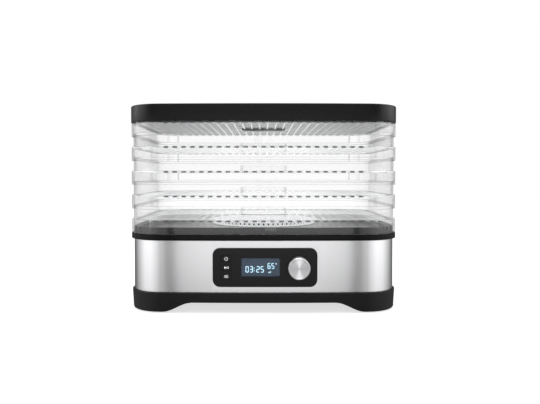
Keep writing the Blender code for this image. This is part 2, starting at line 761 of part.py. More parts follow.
def mica_plate(turn):
    """One T-shaped plate of the heater's cross: a wide strip on top that reaches the duct."""
    reach = DUCT_INNER - 2 * GAP
    strip_bottom = HEATER_TOP - HEATER_STRIP
    half = HEATER_RADIUS
    profile = [
        (-reach, HEATER_TOP),
        (-reach, strip_bottom),
        (-half, strip_bottom),
        (-half, HEATER_BOTTOM),
        (half, HEATER_BOTTOM),
        (half, strip_bottom),
        (reach, strip_bottom),
        (reach, HEATER_TOP),
    ]
    plate = skin([[(x, y, z) for x, z in profile] for y in (-MICA / 2, MICA / 2)])
    plate.transform(Matrix.Rotation(turn, 4, "Z"))
    return plate


def heater(mica, wire, steel):
    frame = place("heater_frame", mica_plate(0), mica)
    join(frame, mica_plate(math.pi / 2))
    count = COIL_TURNS * COIL_STEPS
    low = HEATER_BOTTOM + 2 * COIL_WIRE
    rise = HEATER_HEIGHT - 4 * COIL_WIRE
    line = []
    for index in range(count + 1):
        angle = math.tau * index / COIL_STEPS
        line.append((COIL_RADIUS * math.cos(angle), COIL_RADIUS * math.sin(angle), low + rise * index / count))
    tube("heater_coil", line, COIL_WIRE, wire)
    seat = HEATER_TOP + GAP
    place("thermal_cutout", cylinder(CUTOUT_RADIUS, seat, seat + CUTOUT_HEIGHT, steps=16), steel)
    fuse = cylinder(FUSE_RADIUS, -FUSE_LENGTH / 2, FUSE_LENGTH / 2, steps=12)
    fuse.transform(Matrix.Rotation(math.pi / 2, 4, "Y"))
    place("thermal_fuse", fuse, steel, (HEATER_RADIUS / 2, 0, seat + FUSE_RADIUS))
    probe_top = DUCT_TOP - PROBE_UNDER_DUCT_TOP
    probe = cylinder(PROBE_RADIUS, seat, probe_top, x=-HEATER_RADIUS / 2, steps=12)
    place("temperature_sensor", probe, steel)


# ---------------------------------------------------------------- controls
def control_fascia(look):
    front = rounded_rectangle(PANEL_WIDTH, PANEL_HEIGHT, PANEL_RADIUS)
    edge = rounded_rectangle(PANEL_WIDTH - 2 * GAP, PANEL_HEIGHT - 2 * GAP, PANEL_RADIUS - GAP)
    wide = rounded_rectangle(
        PANEL_WIDTH + 2 * PANEL_FLANGE, PANEL_HEIGHT + 2 * PANEL_FLANGE, PANEL_RADIUS + PANEL_FLANGE
    )
    levels = [
        (edge, PANEL_FRONT),
        (front, PANEL_FRONT - GAP),
        (front, FLANGE_FRONT),
        (wide, FLANGE_FRONT),
        (wide, FLANGE_BACK),
    ]
    body = skin([facing(points, PANEL_X, PANEL_Z, depth) for points, depth in levels])
    piece = place("control_fascia", body, look)
    through = (PANEL_FRONT + PANEL_PROUD, FLANGE_BACK - PANEL_PROUD)
    window = rounded_rectangle(WINDOW_WIDTH + 2 * GAP, WINDOW_HEIGHT + 2 * GAP, BUTTON_CORNER, 2)
    cut(piece, skin([facing(window, WINDOW_X, PANEL_Z, depth) for depth in through]))
    hole = rounded_rectangle(BUTTON_WIDTH + 2 * GAP, BUTTON_HEIGHT + 2 * GAP, BUTTON_CORNER + GAP, 2)
    for step in (-1, 0, 1):
        z = PANEL_Z + step * BUTTON_PITCH
        cut(piece, skin([facing(hole, BUTTON_X, z, depth) for depth in through]))
    knob_hole = cylinder(KNOB_RADIUS + KNOB_GAP, -through[0], -through[1], steps=DUCT_STEPS)
    knob_hole.transform(Matrix.Rotation(-math.pi / 2, 4, "X"))
    knob_hole.transform(Matrix.Translation((KNOB_X, 0, PANEL_Z)))
    cut(piece, knob_hole)


def buttons(look):
    """Three keys, flush with the fascia, each held from behind by a rim wider than its hole."""
    flush = PANEL_FRONT - GAP
    rim_front = FLANGE_BACK - GAP
    rim_back = rim_front - BUTTON_RIM
    face = rounded_rectangle(BUTTON_WIDTH, BUTTON_HEIGHT, BUTTON_CORNER, 2)
    rim = rounded_rectangle(BUTTON_WIDTH + 2 * BUTTON_RIM, BUTTON_HEIGHT + 2 * BUTTON_RIM, BUTTON_CORNER, 2)
    for name, step in (("button_power", 1), ("button_play_pause", 0), ("button_set", -1)):
        levels = [(face, flush), (face, rim_front), (rim, rim_front), (rim, rim_back)]
        body = skin([facing(points, 0, 0, depth - flush) for points, depth in levels])
        place(name, body, look, (BUTTON_X, -flush, PANEL_Z + step * BUTTON_PITCH))


def display(lens, screen, board):
    glass = rounded_rectangle(WINDOW_WIDTH, WINDOW_HEIGHT, BUTTON_CORNER - GAP, 2)
    levels = (PANEL_FRONT - GAP, PANEL_FRONT - GAP - WINDOW_THICKNESS)
    place("display_lens", skin([facing(glass, WINDOW_X, PANEL_Z, depth) for depth in levels]), lens)
    half_width = WINDOW_WIDTH / 2 + BUTTON_RIM
    half_height = WINDOW_HEIGHT / 2 + BUTTON_RIM
    low = (WINDOW_X - half_width, -DISPLAY_FRONT, PANEL_Z - half_height)
    high = (WINDOW_X + half_width, -DISPLAY_FRONT + DISPLAY_DEPTH, PANEL_Z + half_height)
    place("display_module", boxes([(low, high)]), screen)
    reach = PANEL_WIDTH / 2 - PANEL_FLANGE
    low = (PANEL_X - reach, -BOARD_FRONT, PANEL_Z - PANEL_HEIGHT / 2)
    high = (PANEL_X + reach, -BOARD_BACK, PANEL_Z + PANEL_HEIGHT / 2)
    place("display_board", boxes([(low, high)]), board)


def encoder(body_look, shaft_look, knob_look):
    half = ENCODER_SIZE / 2
    low = (KNOB_X - half, -DISPLAY_FRONT, PANEL_Z - half)
    high = (KNOB_X + half, -DISPLAY_FRONT + DISPLAY_DEPTH, PANEL_Z + half)
    place("encoder_body", boxes([(low, high)]), body_look)
    axis_turn = (math.pi / 2, 0, 0)
    bore = ENCODER_SHAFT_RADIUS + GAP
    shaft_back = DISPLAY_FRONT + GAP
    shaft_front = KNOB_FRONT - KNOB_RADIUS / 4
    place(
        "encoder_shaft",
        cylinder(ENCODER_SHAFT_RADIUS, shaft_back - KNOB_FRONT, shaft_front - KNOB_FRONT, steps=16),
        shaft_look,
        (KNOB_X, -KNOB_FRONT, PANEL_Z),
        axis_turn,
    )
    back = DISPLAY_FRONT + KNOB_GAP - KNOB_FRONT
    profile = [
        (0, 0),
        (KNOB_RADIUS - KNOB_RIM, 0),
        (KNOB_RADIUS, -KNOB_RIM),
        (KNOB_RADIUS, back),
        (bore, back),
        (bore, shaft_front - KNOB_FRONT + GAP),
        (0, shaft_front - KNOB_FRONT + GAP),
    ]
    knob = turned(profile, DUCT_STEPS, closed=False)
    place("knob", knob, knob_look, (KNOB_X, -KNOB_FRONT, PANEL_Z), axis_turn)


# ---------------------------------------------------------------- power side
def power_side(board, plastic, copper, can):
    half_x, half_y = POWER_BOARD_WIDTH / 2, POWER_BOARD_DEPTH / 2
    low = (POWER_BOARD_X - half_x, -half_y, POWER_BOARD_Z)
    high = (POWER_BOARD_X + half_x, half_y, POWER_BOARD_TOP)
    place("power_board", boxes([(low, high)]), board)
    seat = POWER_BOARD_TOP + GAP
    for name, size, look, side in (("transformer", TRANSFORMER, copper, -1), ("relay", RELAY, plastic, 1)):
        y = side * (half_y / 2)
        low = (-size[0] / 2, -size[1] / 2, 0)
        high = (size[0] / 2, size[1] / 2, size[2])
        place(name, boxes([(low, high)]), look, (POWER_BOARD_X, y, seat))
    capacitor = cylinder(CAPACITOR_RADIUS, 0, CAPACITOR_HEIGHT, steps=16)
    place("capacitor", capacitor, can, (POWER_BOARD_X, 0, seat))


def smooth_line(route, steps=5):
    """Points read along a Catmull-Rom curve through the route's own points."""
    points = [Vector(point) for point in route]
    ends = [2 * points[0] - points[1], *points, 2 * points[-1] - points[-2]]
    line = []
    for before, here, there, after in zip(ends, ends[1:], ends[2:], ends[3:]):
        for step in range(steps):
            t = step / steps
            line.append(
                0.5
                * (
                    2 * here
                    + (there - before) * t
                    + (2 * before - 5 * here + 4 * there - after) * t**2
                    + (3 * here - before - 3 * there + after) * t**3
                )
            )
    return [*line, points[-1]]


def cord_gland(look):
    wall = front_y(abs(GLAND_X), BAND_INSET)
    profile = [
        (GLAND_FLANGE_RADIUS, -GAP),
        (GLAND_FLANGE_RADIUS * 0.8, -GAP - GLAND_FLANGE),
        (GLAND_BORE, -GAP - GLAND_FLANGE),
        (GLAND_BORE, GLAND_LENGTH),
        (GLAND_RADIUS, GLAND_LENGTH),
        (GLAND_RADIUS, -GAP),
    ]
    place("cord_gland", turned(profile, 20), look, (GLAND_X, wall, GLAND_Z), (math.pi / 2, 0, 0))


def leads(mains, heater_look, ribbon):
    """The mains lead starts at the gland and runs behind the duct; the others leave the power board."""
    lane = DUCT_RADIUS + 6 * LEAD_RADIUS
    gland_y = front_y(abs(GLAND_X), BAND_INSET) - GLAND_LENGTH - GAP
    board_left = POWER_BOARD_X - POWER_BOARD_WIDTH / 2 - GAP - LEAD_RADIUS
    board_rear = POWER_BOARD_DEPTH / 2
    mid_z = POWER_BOARD_Z + BOARD_THICKNESS / 2
    mains_route = [
        (GLAND_X, gland_y, GLAND_Z),
        (GLAND_X + 4 * LEAD_RADIUS, lane + 6 * LEAD_RADIUS, GLAND_Z - 2 * LEAD_RADIUS),
        (0, lane + 4 * LEAD_RADIUS, GLAND_Z - 4 * LEAD_RADIUS),
        (POWER_BOARD_X - POWER_BOARD_WIDTH / 4, board_rear + 6 * LEAD_RADIUS, mid_z + LEAD_RADIUS),
        (POWER_BOARD_X, board_rear + GAP + LEAD_RADIUS, mid_z),
    ]
    tube("mains_lead", smooth_line(mains_route), LEAD_RADIUS, mains)
    outside = DUCT_RADIUS + GAP + LEAD_RADIUS
    heater_route = [
        (board_left, -board_rear / 2, mid_z),
        (outside + LEAD_RADIUS, -board_rear / 4, mid_z + 8 * LEAD_RADIUS),
        (outside, 0, (mid_z + HEATER_TOP) / 2),
        (outside, 0, HEATER_TOP),
    ]
    tube("heater_lead", smooth_line(heater_route), LEAD_RADIUS, heater_look)
    thick = 2 * GAP
    half = RIBBON_WIDTH / 2
    drop_x = PANEL_X + PANEL_WIDTH / 2 - PANEL_FLANGE - RIBBON_WIDTH
    drop_y = -BOARD_BACK + GAP
    end_x = POWER_BOARD_X - POWER_BOARD_WIDTH / 2 + RIBBON_WIDTH
    route = [
        ((drop_x, drop_y, PANEL_Z - PANEL_HEIGHT / 4), (thick, 0)),
        ((drop_x, drop_y, mid_z + half), (thick, 0)),
        ((drop_x + half / 2, drop_y + half, mid_z + GAP), (thick, thick)),
        ((end_x, -board_rear - GAP, mid_z), (0, thick)),
    ]
    loops = []
    for (x, y, z), (deep, high) in route:
        near = [(x - half, y, z), (x + half, y, z)]
        far = [(x + half, y + deep, z + high), (x - half, y + deep, z + high)]
        loops.append(near + far)
    place("ribbon_cable", skin(loops), ribbon)


# ---------------------------------------------------------------- trays and lid
def inside(x, y, inset):
    """True if a point lies within the plan moved in by inset."""
    half = WIDTH / 2 - inset
    radius = max(CORNER_RADIUS - inset, LEAST_CORNER)
    if abs(x) > half or abs(y) > front_y(min(abs(x), half), inset):
        return False
    corner_x, corner_y = half - radius, front_y(half - radius, inset) - radius
    if abs(x) <= corner_x or abs(y) <= corner_y:
        return True
    return math.hypot(abs(x) - corner_x, abs(y) - corner_y) <= radius


def floor_holes():
    """Square openings of the tray floor, clear of its border, its corners and the collar."""
    span_x = WIDTH - 2 * FLOOR_BORDER
    span_y = DEPTH - 2 * FLOOR_BORDER
    columns = math.ceil(span_x / HOLE_SPACING)
    rows = math.ceil(span_y / HOLE_SPACING)
    half_x = (span_x / columns - HOLE_BAR) / 2
    half_y = (span_y / rows - HOLE_BAR) / 2
    holes = []
    for column in range(columns):
        x = (column - (columns - 1) / 2) * span_x / columns
        for row in range(rows):
            y = (row - (rows - 1) / 2) * span_y / rows
            by_collar = (
                abs(x) - half_x < COLLAR_WIDTH / 2 + HOLE_BAR
                and abs(y) - half_y < COLLAR_DEPTH / 2 + HOLE_BAR
            )
            if not by_collar and inside(abs(x) + half_x, abs(y) + half_y, FLOOR_BORDER / 2):
                holes.append((x - half_x, y - half_y, x + half_x, y + half_y))
    return holes


def tray_mesh(look):
    """One tray, with its floor's top at z = 0."""
    neck_inner = NECK_INSET + TRAY_WALL
    section = [
        (TRAY_WALL, -TRAY_FLOOR),
        (TRAY_WALL, -TRAY_SKIRT),
        (0, -TRAY_SKIRT),
        (0, 0),
        (NECK_INSET, 0),
        (NECK_INSET, NECK_HEIGHT),
        (neck_inner, NECK_HEIGHT),
        (neck_inner, 0),
    ]
    model = place("tray_model", skin([outline(inset, z) for inset, z in section]), look)
    below, above = -2 * TRAY_FLOOR, TRAY_FLOOR
    holes = [((x0, y0, below), (x1, y1, above)) for x0, y0, x1, y1 in floor_holes()]
    cut(model, boxes(holes))
    outer = rounded_rectangle(COLLAR_WIDTH, COLLAR_DEPTH, COLLAR_HEIGHT, 2)
    inner_size = (COLLAR_WIDTH - 2 * COLLAR_WALL, COLLAR_DEPTH - 2 * COLLAR_WALL)
    inner = rounded_rectangle(*inner_size, COLLAR_HEIGHT - COLLAR_WALL, 2)
    levels = (-TRAY_FLOOR / 2, COLLAR_HEIGHT)
    join(model, skin([[(x, y, z) for x, y in outer] for z in levels]))
    through = (below, COLLAR_HEIGHT + TRAY_FLOOR)
    cut(model, skin([[(x, y, z) for x, y in inner] for z in through]))
    join(model, corner_ribs())
    join(model, wall_keys())
    return model


def corner_ribs(clearance=0.0):
    """Upright ribs in the skirt's corners, which stand on the neck of the tray below.

    With a clearance they are the notches that the lowest tray's ribs drop into.
    """
    ribs = bmesh.new()
    centre_x = WIDTH / 2 - CORNER_RADIUS
    centre_y = front_y(centre_x, CORNER_RADIUS)
    bottom = RIB_BOTTOM - clearance
    outer = CORNER_RADIUS - TRAY_WALL / 2
    half = RIB_THICKNESS / 2 + clearance
    for side_x in (-1, 1):
        for side_y in (-1, 1):
            base = math.atan2(side_y, side_x)
            for step in (-1, 0, 1):
                low = (outer - RIB_LENGTH - clearance, -half, bottom)
                high = (outer, half, -TRAY_FLOOR / 2)
                about = (side_x * centre_x, side_y * centre_y, 0)
                add_box(ribs, low, high, base + step * RIB_FAN, about)
    return ribs


def wall_keys():
    """Thickened strips inside the skirt and inside the neck, front and back."""
    keys = bmesh.new()
    skirt_face = front_y(KEY_X + KEY_WIDTH / 2, TRAY_WALL)
    neck_face = front_y(NECK_KEY_X + NECK_KEY_WIDTH / 2, NECK_INSET + TRAY_WALL)
    for side in (-1, 1):
        outer = skirt_face + TRAY_WALL / 2
        ends = sorted((side * outer, side * (skirt_face - KEY_THICKNESS)))
        across = sorted((-side * (KEY_X - KEY_WIDTH / 2), -side * (KEY_X + KEY_WIDTH / 2)))
        add_box(keys, (across[0], ends[0], RIB_BOTTOM), (across[1], ends[1], -TRAY_FLOOR / 2))
        outer = neck_face + TRAY_WALL / 2
        ends = sorted((side * outer, side * (neck_face - 2 * KEY_THICKNESS)))
        reach = NECK_KEY_WIDTH / 2
        across = sorted((-side * (NECK_KEY_X - reach), -side * (NECK_KEY_X + reach)))
        add_box(keys, (across[0], ends[0], -TRAY_FLOOR / 2), (across[1], ends[1], NECK_HEIGHT - GAP))
    return keys


def trays(look):
    """Five copies that share one finished mesh."""
    model = tray_mesh(look)
    bpy.context.view_layer.update()
    finished = bpy.data.meshes.new_from_object(model.evaluated_get(bpy.context.evaluated_depsgraph_get()))
    finished.name = "tray"
    for tool in [modifier.object for modifier in model.modifiers]:
        bpy.data.objects.remove(tool)
    bpy.data.objects.remove(model)
    for index in range(TRAY_COUNT):
        place(f"tray_{index + 1}", finished, look, (0, 0, FIRST_FLOOR + index * TRAY_PITCH))


def lid(look):
    """A shallow cap whose top rises in three steps to a flat middle, with a row of vent slots."""
    outer = -LID_OVERHANG
    inner = outer + LID_WALL
    edge_z = LID_BOTTOM + LID_HEIGHT
    over = [(inset, edge_z + LID_CROWN * share) for inset, share in LID_CROWN_STEPS]
    under = [(inset, z - LID_TOP) for inset, z in reversed(over)]
    section = [
        *under,
        (inner, edge_z - LID_TOP),
        (inner, LID_BOTTOM),
        (outer, LID_BOTTOM),
        (outer, edge_z - LID_EDGE),
        (outer + LID_EDGE, edge_z),
        *over,
    ]
    piece = place("lid", skin([outline(inset, z) for inset, z in section]), look)
    slots = []
    for index in range(LID_SLOTS):
        x = (index - (LID_SLOTS - 1) / 2) * LID_SLOT_PITCH
        low = (x - LID_SLOT_WIDTH / 2, -LID_SLOT_LENGTH / 2, edge_z - 2 * LID_TOP)
        high = (x + LID_SLOT_WIDTH / 2, LID_SLOT_LENGTH / 2, edge_z + 2 * LID_CROWN)
        slots.append((low, high))
    cut(piece, boxes(slots))


# ---------------------------------------------------------------- assembly
def main():
    for leftover in list(bpy.data.objects):
        bpy.data.objects.remove(leftover)
    frame = bpy.data.objects.new("body_frame", None)
    bpy.context.scene.collection.objects.link(frame)
    frame.location = (0, BODY_Y, 0)

    satin_black = material("satin_black_plastic", (0.018, 0.018, 0.019), 0.45)
    gloss_black = material("gloss_black_plastic", (0.008, 0.008, 0.009), 0.12)
    steel = material("brushed_stainless", (0.62, 0.62, 0.61), 0.28, 1.0)
    clear = material("clear_tray_plastic", (0.90, 0.92, 0.93), 0.08, alpha=0.35)
    light_grey = material("light_grey_plastic", (0.70, 0.71, 0.72), 0.40)
    panel_black = material("panel_black", (0.014, 0.014, 0.015), 0.30)
    screen = material("display_blue_grey", (0.06, 0.08, 0.11), 0.20)
    lens = material("display_window", (0.10, 0.12, 0.15), 0.08, alpha=0.5)
    turned_metal = material("turned_aluminium", (0.72, 0.72, 0.73), 0.25, 1.0)
    rubber = material("black_rubber", (0.02, 0.02, 0.02), 0.80)
    zinc = material("zinc_steel", (0.55, 0.55, 0.55), 0.35, 1.0)
    inner_white = material("heat_resisting_white", (0.75, 0.74, 0.70), 0.60)
    mica = material("mica_board", (0.55, 0.48, 0.36), 0.65)
    wire = material("resistance_wire", (0.35, 0.32, 0.30), 0.40, 1.0)
    copper = material("copper_winding", (0.60, 0.28, 0.14), 0.35, 1.0)
    board = material("green_board", (0.03, 0.16, 0.07), 0.50)
    relay_blue = material("relay_blue", (0.05, 0.14, 0.35), 0.40)
    lead_black = material("lead_black", (0.03, 0.03, 0.03), 0.55)
    lead_red = material("lead_red", (0.45, 0.04, 0.03), 0.55)
    ribbon_grey = material("ribbon_grey", (0.45, 0.46, 0.48), 0.60)

    foot_skirt(satin_black)
    rubber_feet(rubber)
    bottom_screws(zinc)
    bottom_plate(satin_black)
    steel_band(steel)
    bezel_ring(gloss_black)
    top_deck(gloss_black)
    vent_cap(light_grey)
    air_duct(inner_white)
    motor_bracket(zinc)
    motor(zinc, copper, turned_metal)
    fan_impeller(inner_white)
    heater(mica, wire, zinc)
    control_fascia(panel_black)
    buttons(panel_black)
    display(lens, screen, board)
    encoder(zinc, zinc, turned_metal)
    power_side(board, relay_blue, copper, lead_black)
    cord_gland(rubber)
    leads(lead_black, lead_red, ribbon_grey)
    trays(clear)
    lid(satin_black)


main()
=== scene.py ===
"""Looks of a food dehydrator: a base with fan, heater and controls, five clear stacking trays and a lid.

Metres, +Z up. The control panel faces -Y. Each operator makes one piece, or one group of like pieces,
round the fixed frame, and the sidebar panel lists them in the order in which they are made.
"""

import math

import bmesh
import bpy
from bpy.props import FloatProperty, FloatVectorProperty, IntProperty, PointerProperty
from bpy.types import Operator, Panel, PropertyGroup
from mathutils import Matrix, Vector


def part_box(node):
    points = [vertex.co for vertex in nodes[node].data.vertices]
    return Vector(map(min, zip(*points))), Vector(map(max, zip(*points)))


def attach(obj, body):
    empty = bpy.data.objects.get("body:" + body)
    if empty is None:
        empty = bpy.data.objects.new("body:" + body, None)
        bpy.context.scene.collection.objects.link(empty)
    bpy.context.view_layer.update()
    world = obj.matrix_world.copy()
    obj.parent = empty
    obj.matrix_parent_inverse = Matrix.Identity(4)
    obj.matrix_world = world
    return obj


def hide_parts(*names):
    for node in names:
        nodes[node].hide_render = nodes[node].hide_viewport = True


bl_info = {
    "name": "Food dehydrator looks",
    "version": (1, 0, 0),
    "blender": (4, 5, 0),
    "location": "View3D > Sidebar > Dehydrator",
    "description": "Builds the visible pieces of a stacking food dehydrator round its fixed frame",
    "category": "Object",
}

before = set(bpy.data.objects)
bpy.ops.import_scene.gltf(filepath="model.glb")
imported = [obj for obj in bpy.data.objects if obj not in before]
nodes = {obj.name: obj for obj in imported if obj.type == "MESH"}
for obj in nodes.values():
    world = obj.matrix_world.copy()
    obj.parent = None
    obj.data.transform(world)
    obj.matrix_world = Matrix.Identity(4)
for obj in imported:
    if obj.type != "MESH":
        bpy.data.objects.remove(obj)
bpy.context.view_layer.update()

TRAY_LOW, TRAY_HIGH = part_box("tray_1")
LID_LOW, LID_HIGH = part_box("lid")
SKIRT_LOW, SKIRT_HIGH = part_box("foot_skirt")
BAND_LOW, BAND_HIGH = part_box("steel_band")
BEZEL_LOW, BEZEL_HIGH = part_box("bezel_ring")
DECK_LOW, DECK_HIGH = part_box("top_deck")
VENT_LOW, VENT_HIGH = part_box("vent_cap")
DUCT_LOW, DUCT_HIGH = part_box("air_duct")
FASCIA_LOW, FASCIA_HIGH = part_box("control_fascia")
LENS_LOW, LENS_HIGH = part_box("display_lens")
MODULE_LOW, MODULE_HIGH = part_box("display_module")
KNOB_LOW, KNOB_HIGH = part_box("knob")
SHAFT_LOW, SHAFT_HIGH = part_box("encoder_shaft")
GLAND_LOW, GLAND_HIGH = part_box("cord_gland")
CENTRE_Y = (TRAY_LOW.y + TRAY_HIGH.y) / 2
TRAY_COUNT = sum(1 for name in nodes if name.startswith("tray_"))
BUTTONS = ("button_power", "button_play_pause", "button_set")
GAP = 0.0003
KEY_HOLE_WIDTH, KEY_HOLE_HEIGHT, KEY_HOLE_CORNER = 0.0143, 0.0083, 0.0017
RIB_DROP = 0.0132  # how far a tray's corner ribs reach below its floor's top
RIB_SLOT_GAP = 0.0004  # room round each rib where it stands in the deck
RIB_FAN = math.radians(26)  # turn between a corner's three ribs

SEGMENTS = {"0": "abcdef", "2": "abged", "3": "abgcd", "5": "afgcd", "6": "afgedc"}


# ---------------------------------------------------------------- sizes and colours
def length(name, description, default):
    return FloatProperty(name=name, description=description, default=default, unit="LENGTH", precision=5)


def colour(name, description, default):
    return FloatVectorProperty(
        name=name, description=description, default=default, subtype="COLOR", size=3, min=0, max=1
    )


class DehydratorPlan(PropertyGroup):
    """The outline seen from above, which the base, the trays and the lid share."""

    width: length("Width", "Width over the trays", TRAY_HIGH.x - TRAY_LOW.x)
    depth: length("Depth", "Depth over the trays at the middle", TRAY_HIGH.y - TRAY_LOW.y)
    corner: length("Corner radius", "Radius of the four corners", 0.0445)
    bow: length("Bow", "How far the front and back swell at the middle", 0.003)


class DehydratorBase(PropertyGroup):
    """Sizes of the base casing."""

    skirt_inset: length("Skirt inset", "Foot skirt's top edge behind the tray outline", 0.0004)
    skirt_taper: length("Skirt taper", "How much the foot skirt draws in towards the floor", 0.0012)
    skirt_wall: length("Skirt wall", "Thickness of the foot skirt", 0.0046)
    arch_height: length("Arch height", "Rise of the arches between the feet", 0.0118)
    arch_flat: length("Arch flat", "From the side's end to where an arch starts to fall", 0.0830)
    arch_end: length("Arch end", "From the side's end to where an arch has come down", 0.0448)
    band_inset: length("Band inset", "Stainless band behind the tray outline", 0.003)
    band_wall: length("Band thickness", "Thickness of the stainless sheet", 0.001)
    bezel_inset: length("Bezel inset", "Bezel ring behind the tray outline", -0.0005)
    bezel_width: length("Bezel width", "Width of the bezel ring seen from above", 0.012)
    deck_inset: length("Deck inset", "Top deck behind the tray outline", 0.0032)
    deck_wall: length("Deck wall", "Thickness of the deck's raised rim", 0.0025)
    deck_dish: length("Deck dish", "How far the deck's floor lies below its rim", 0.004)
    deck_floor: length("Deck thickness", "Thickness of the deck's floor", 0.0022)
    vent_bars: IntProperty(name="Vent bars", description="Upright bars round the vent cap", default=70)
    vent_spokes: IntProperty(name="Vent spokes", description="Spokes on top of the vent cap", default=24)


class DehydratorTray(PropertyGroup):
    """Sizes of one stacking tray."""

    skirt: length("Skirt depth", "Depth of the wide skirt below the floor's top", 0.0175)
    wall: length("Wall", "Thickness of the walls", 0.002)
    floor: length("Floor", "Thickness of the floor's rim", 0.002)
    neck_inset: length("Neck inset", "Neck behind the skirt", 0.0024)
    neck: length("Neck height", "Height of the neck above the floor", 0.0175)
    border: length("Border", "Solid border of the floor, from the tray outline", 0.0105)
    rib_pitch: length("Rib pitch", "Spacing of the ribs that run front to back", 0.0107)
    rib_width: length("Rib width", "Width of those ribs", 0.0018)
    rib_depth: length("Rib depth", "Height of those ribs", 0.0024)
    bar_pitch: length("Bar pitch", "Spacing of the finer bars across", 0.0065)
    bar_width: length("Bar width", "Width of the finer bars", 0.0010)
    bar_depth: length("Bar depth", "Height of the finer bars", 0.0012)
    web_pitch: length("Web pitch", "Spacing of the small webs under the floor's border", 0.0111)
    web_width: length("Web width", "Width of a small web", 0.0056)
    web_height: length("Web height", "Height of a small web", 0.0022)
    web_inset: length("Web inset", "Webs behind the neck's outer face", 0.0030)
    collar_width: length("Collar width", "Width of the raised middle collar", 0.066)
    collar_depth: length("Collar depth", "Depth of the raised middle collar", 0.056)
    collar_height: length("Collar height", "Height of the collar above the floor", 0.0083)
    collar_wall: length("Collar wall", "Thickness of the collar", 0.0016)


class DehydratorLid(PropertyGroup):
    """Sizes of the lid."""

    overhang: length("Overhang", "Lid over the tray outline", 0.0007)
    wall: length("Wall", "Thickness of the lid's rim", 0.0026)
    top: length("Top", "Thickness of the lid's top", 0.0025)
    crown: length("Crown", "Rise of the top towards the middle", 0.0036)
    slots: IntProperty(name="Slots", description="Vent slots in the top", default=11)
    slot_pitch: length("Slot pitch", "Spacing of the vent slots", 0.009)
    slot_width: length("Slot width", "Width of a vent slot", 0.004)
    slot_length: length("Slot length", "Length of a vent slot", 0.050)


class DehydratorPanelSizes(PropertyGroup):
    """Sizes of the control panel."""

    flange: length("Flange", "Hidden flange behind the stainless band", 0.004)
    corner: length("Corner radius", "Corner radius of the panel", 0.009)
    soft: length("Edge rounding", "Rounding of the panel's front edge", 0.0005)
    digit: length("Digit height", "Height of the large digits", 0.0080)
    small_digit: length("Small digit height", "Height of the small digits", 0.0073)
    stroke: length("Stroke", "Line width of the key symbols", 0.00045)


class DehydratorColours(PropertyGroup):
    """Colours of the finishes."""

    satin_black: colour("Satin black", "Lid and foot skirt", (0.005, 0.005, 0.0055))
    gloss_black: colour("Gloss black", "Bezel ring and deck", (0.004, 0.004, 0.0045))
    steel: colour("Stainless", "Brushed band", (0.66, 0.66, 0.67))
    clear: colour("Clear plastic", "Trays", (0.90, 0.91, 0.92))
    vent: colour("Light grey", "Vent cap", (0.86, 0.87, 0.88))
    fascia: colour("Panel black", "Control panel", (0.006, 0.006, 0.0065))
    screen: colour("Screen", "Unlit display", (0.035, 0.055, 0.085))
    glow: colour("Glow", "Lit digits", (0.55, 0.85, 1.0))
    aluminium: colour("Aluminium", "Knob", (0.58, 0.58, 0.59))
    legend: colour("Legend", "Key symbols", (0.86, 0.87, 0.88))


class DehydratorStudio(PropertyGroup):
    """Camera and lights."""

    eye_height: length("Eye height", "Camera above the floor", 0.173)
    eye_distance: length("Eye distance", "Camera in front of the panel", 0.700)
    lens: FloatProperty(name="Lens", description="Focal length in millimetres", default=37.7)
    pitch: FloatProperty(
        name="Pitch", description="Downward tilt of the camera", default=math.radians(1.35), subtype="ANGLE"
    )
    shift_x: FloatProperty(name="Shift X", description="Sideways lens shift", default=0.0119)
    shift_y: FloatProperty(name="Shift Y", description="Upward lens shift", default=-0.0254)
    top_light: FloatProperty(name="Top light", description="Overhead softbox", default=26.0, unit="POWER")
    room: FloatProperty(name="Room", description="Brightness of the room", default=1.0)


# ---------------------------------------------------------------- meshes
def of_type(geometry, kind):
    return [item for item in geometry if isinstance(item, kind)]


def outline_section(points, rounds, closed):
    """A section as a wire of vertices and edges, its named corners rounded. Points are (across, up)."""
    bm = bmesh.new()
    verts = [bm.verts.new((0, across, up)) for across, up in points]
    first, last = verts[0], verts[-1]
    if len(verts) < 3:
        bm.edges.new(verts)
        return bm
    bm.faces.new(verts)
    for radius, corners in rounds:
        bmesh.ops.bevel(
            bm,
            geom=[verts[index] for index in corners],
            offset=radius,
            segments=4,
            profile=0.5,
            affect="VERTICES",
            material=-1,
        )
    bmesh.ops.delete(bm, geom=bm.faces[:], context="FACES_ONLY")
    if not closed:
        bmesh.ops.delete(bm, geom=[bm.edges.get((first, last))], context="EDGES")
    return bm


def corner_centre(plan):
    """Centre of the front's bow, and of the corner on the right, and the bow's angle up to that corner."""
    corner_x = plan.width / 2 - plan.corner
    arc = (corner_x**2 + plan.bow**2) / (2 * plan.bow)
    arc_y = arc - plan.depth / 2
    corner_y = math.sqrt((arc - plan.corner) ** 2 - corner_x**2) - arc_y
    return arc_y, corner_x, corner_y, math.atan2(corner_x, corner_y + arc_y)


def wall_y(plan, x, inset):
    """How far the front wall's surface stands from the centre line at x."""
    arc_y = corner_centre(plan)[0]
    return math.sqrt((arc_y + plan.depth / 2 - inset) ** 2 - x**2) - arc_y


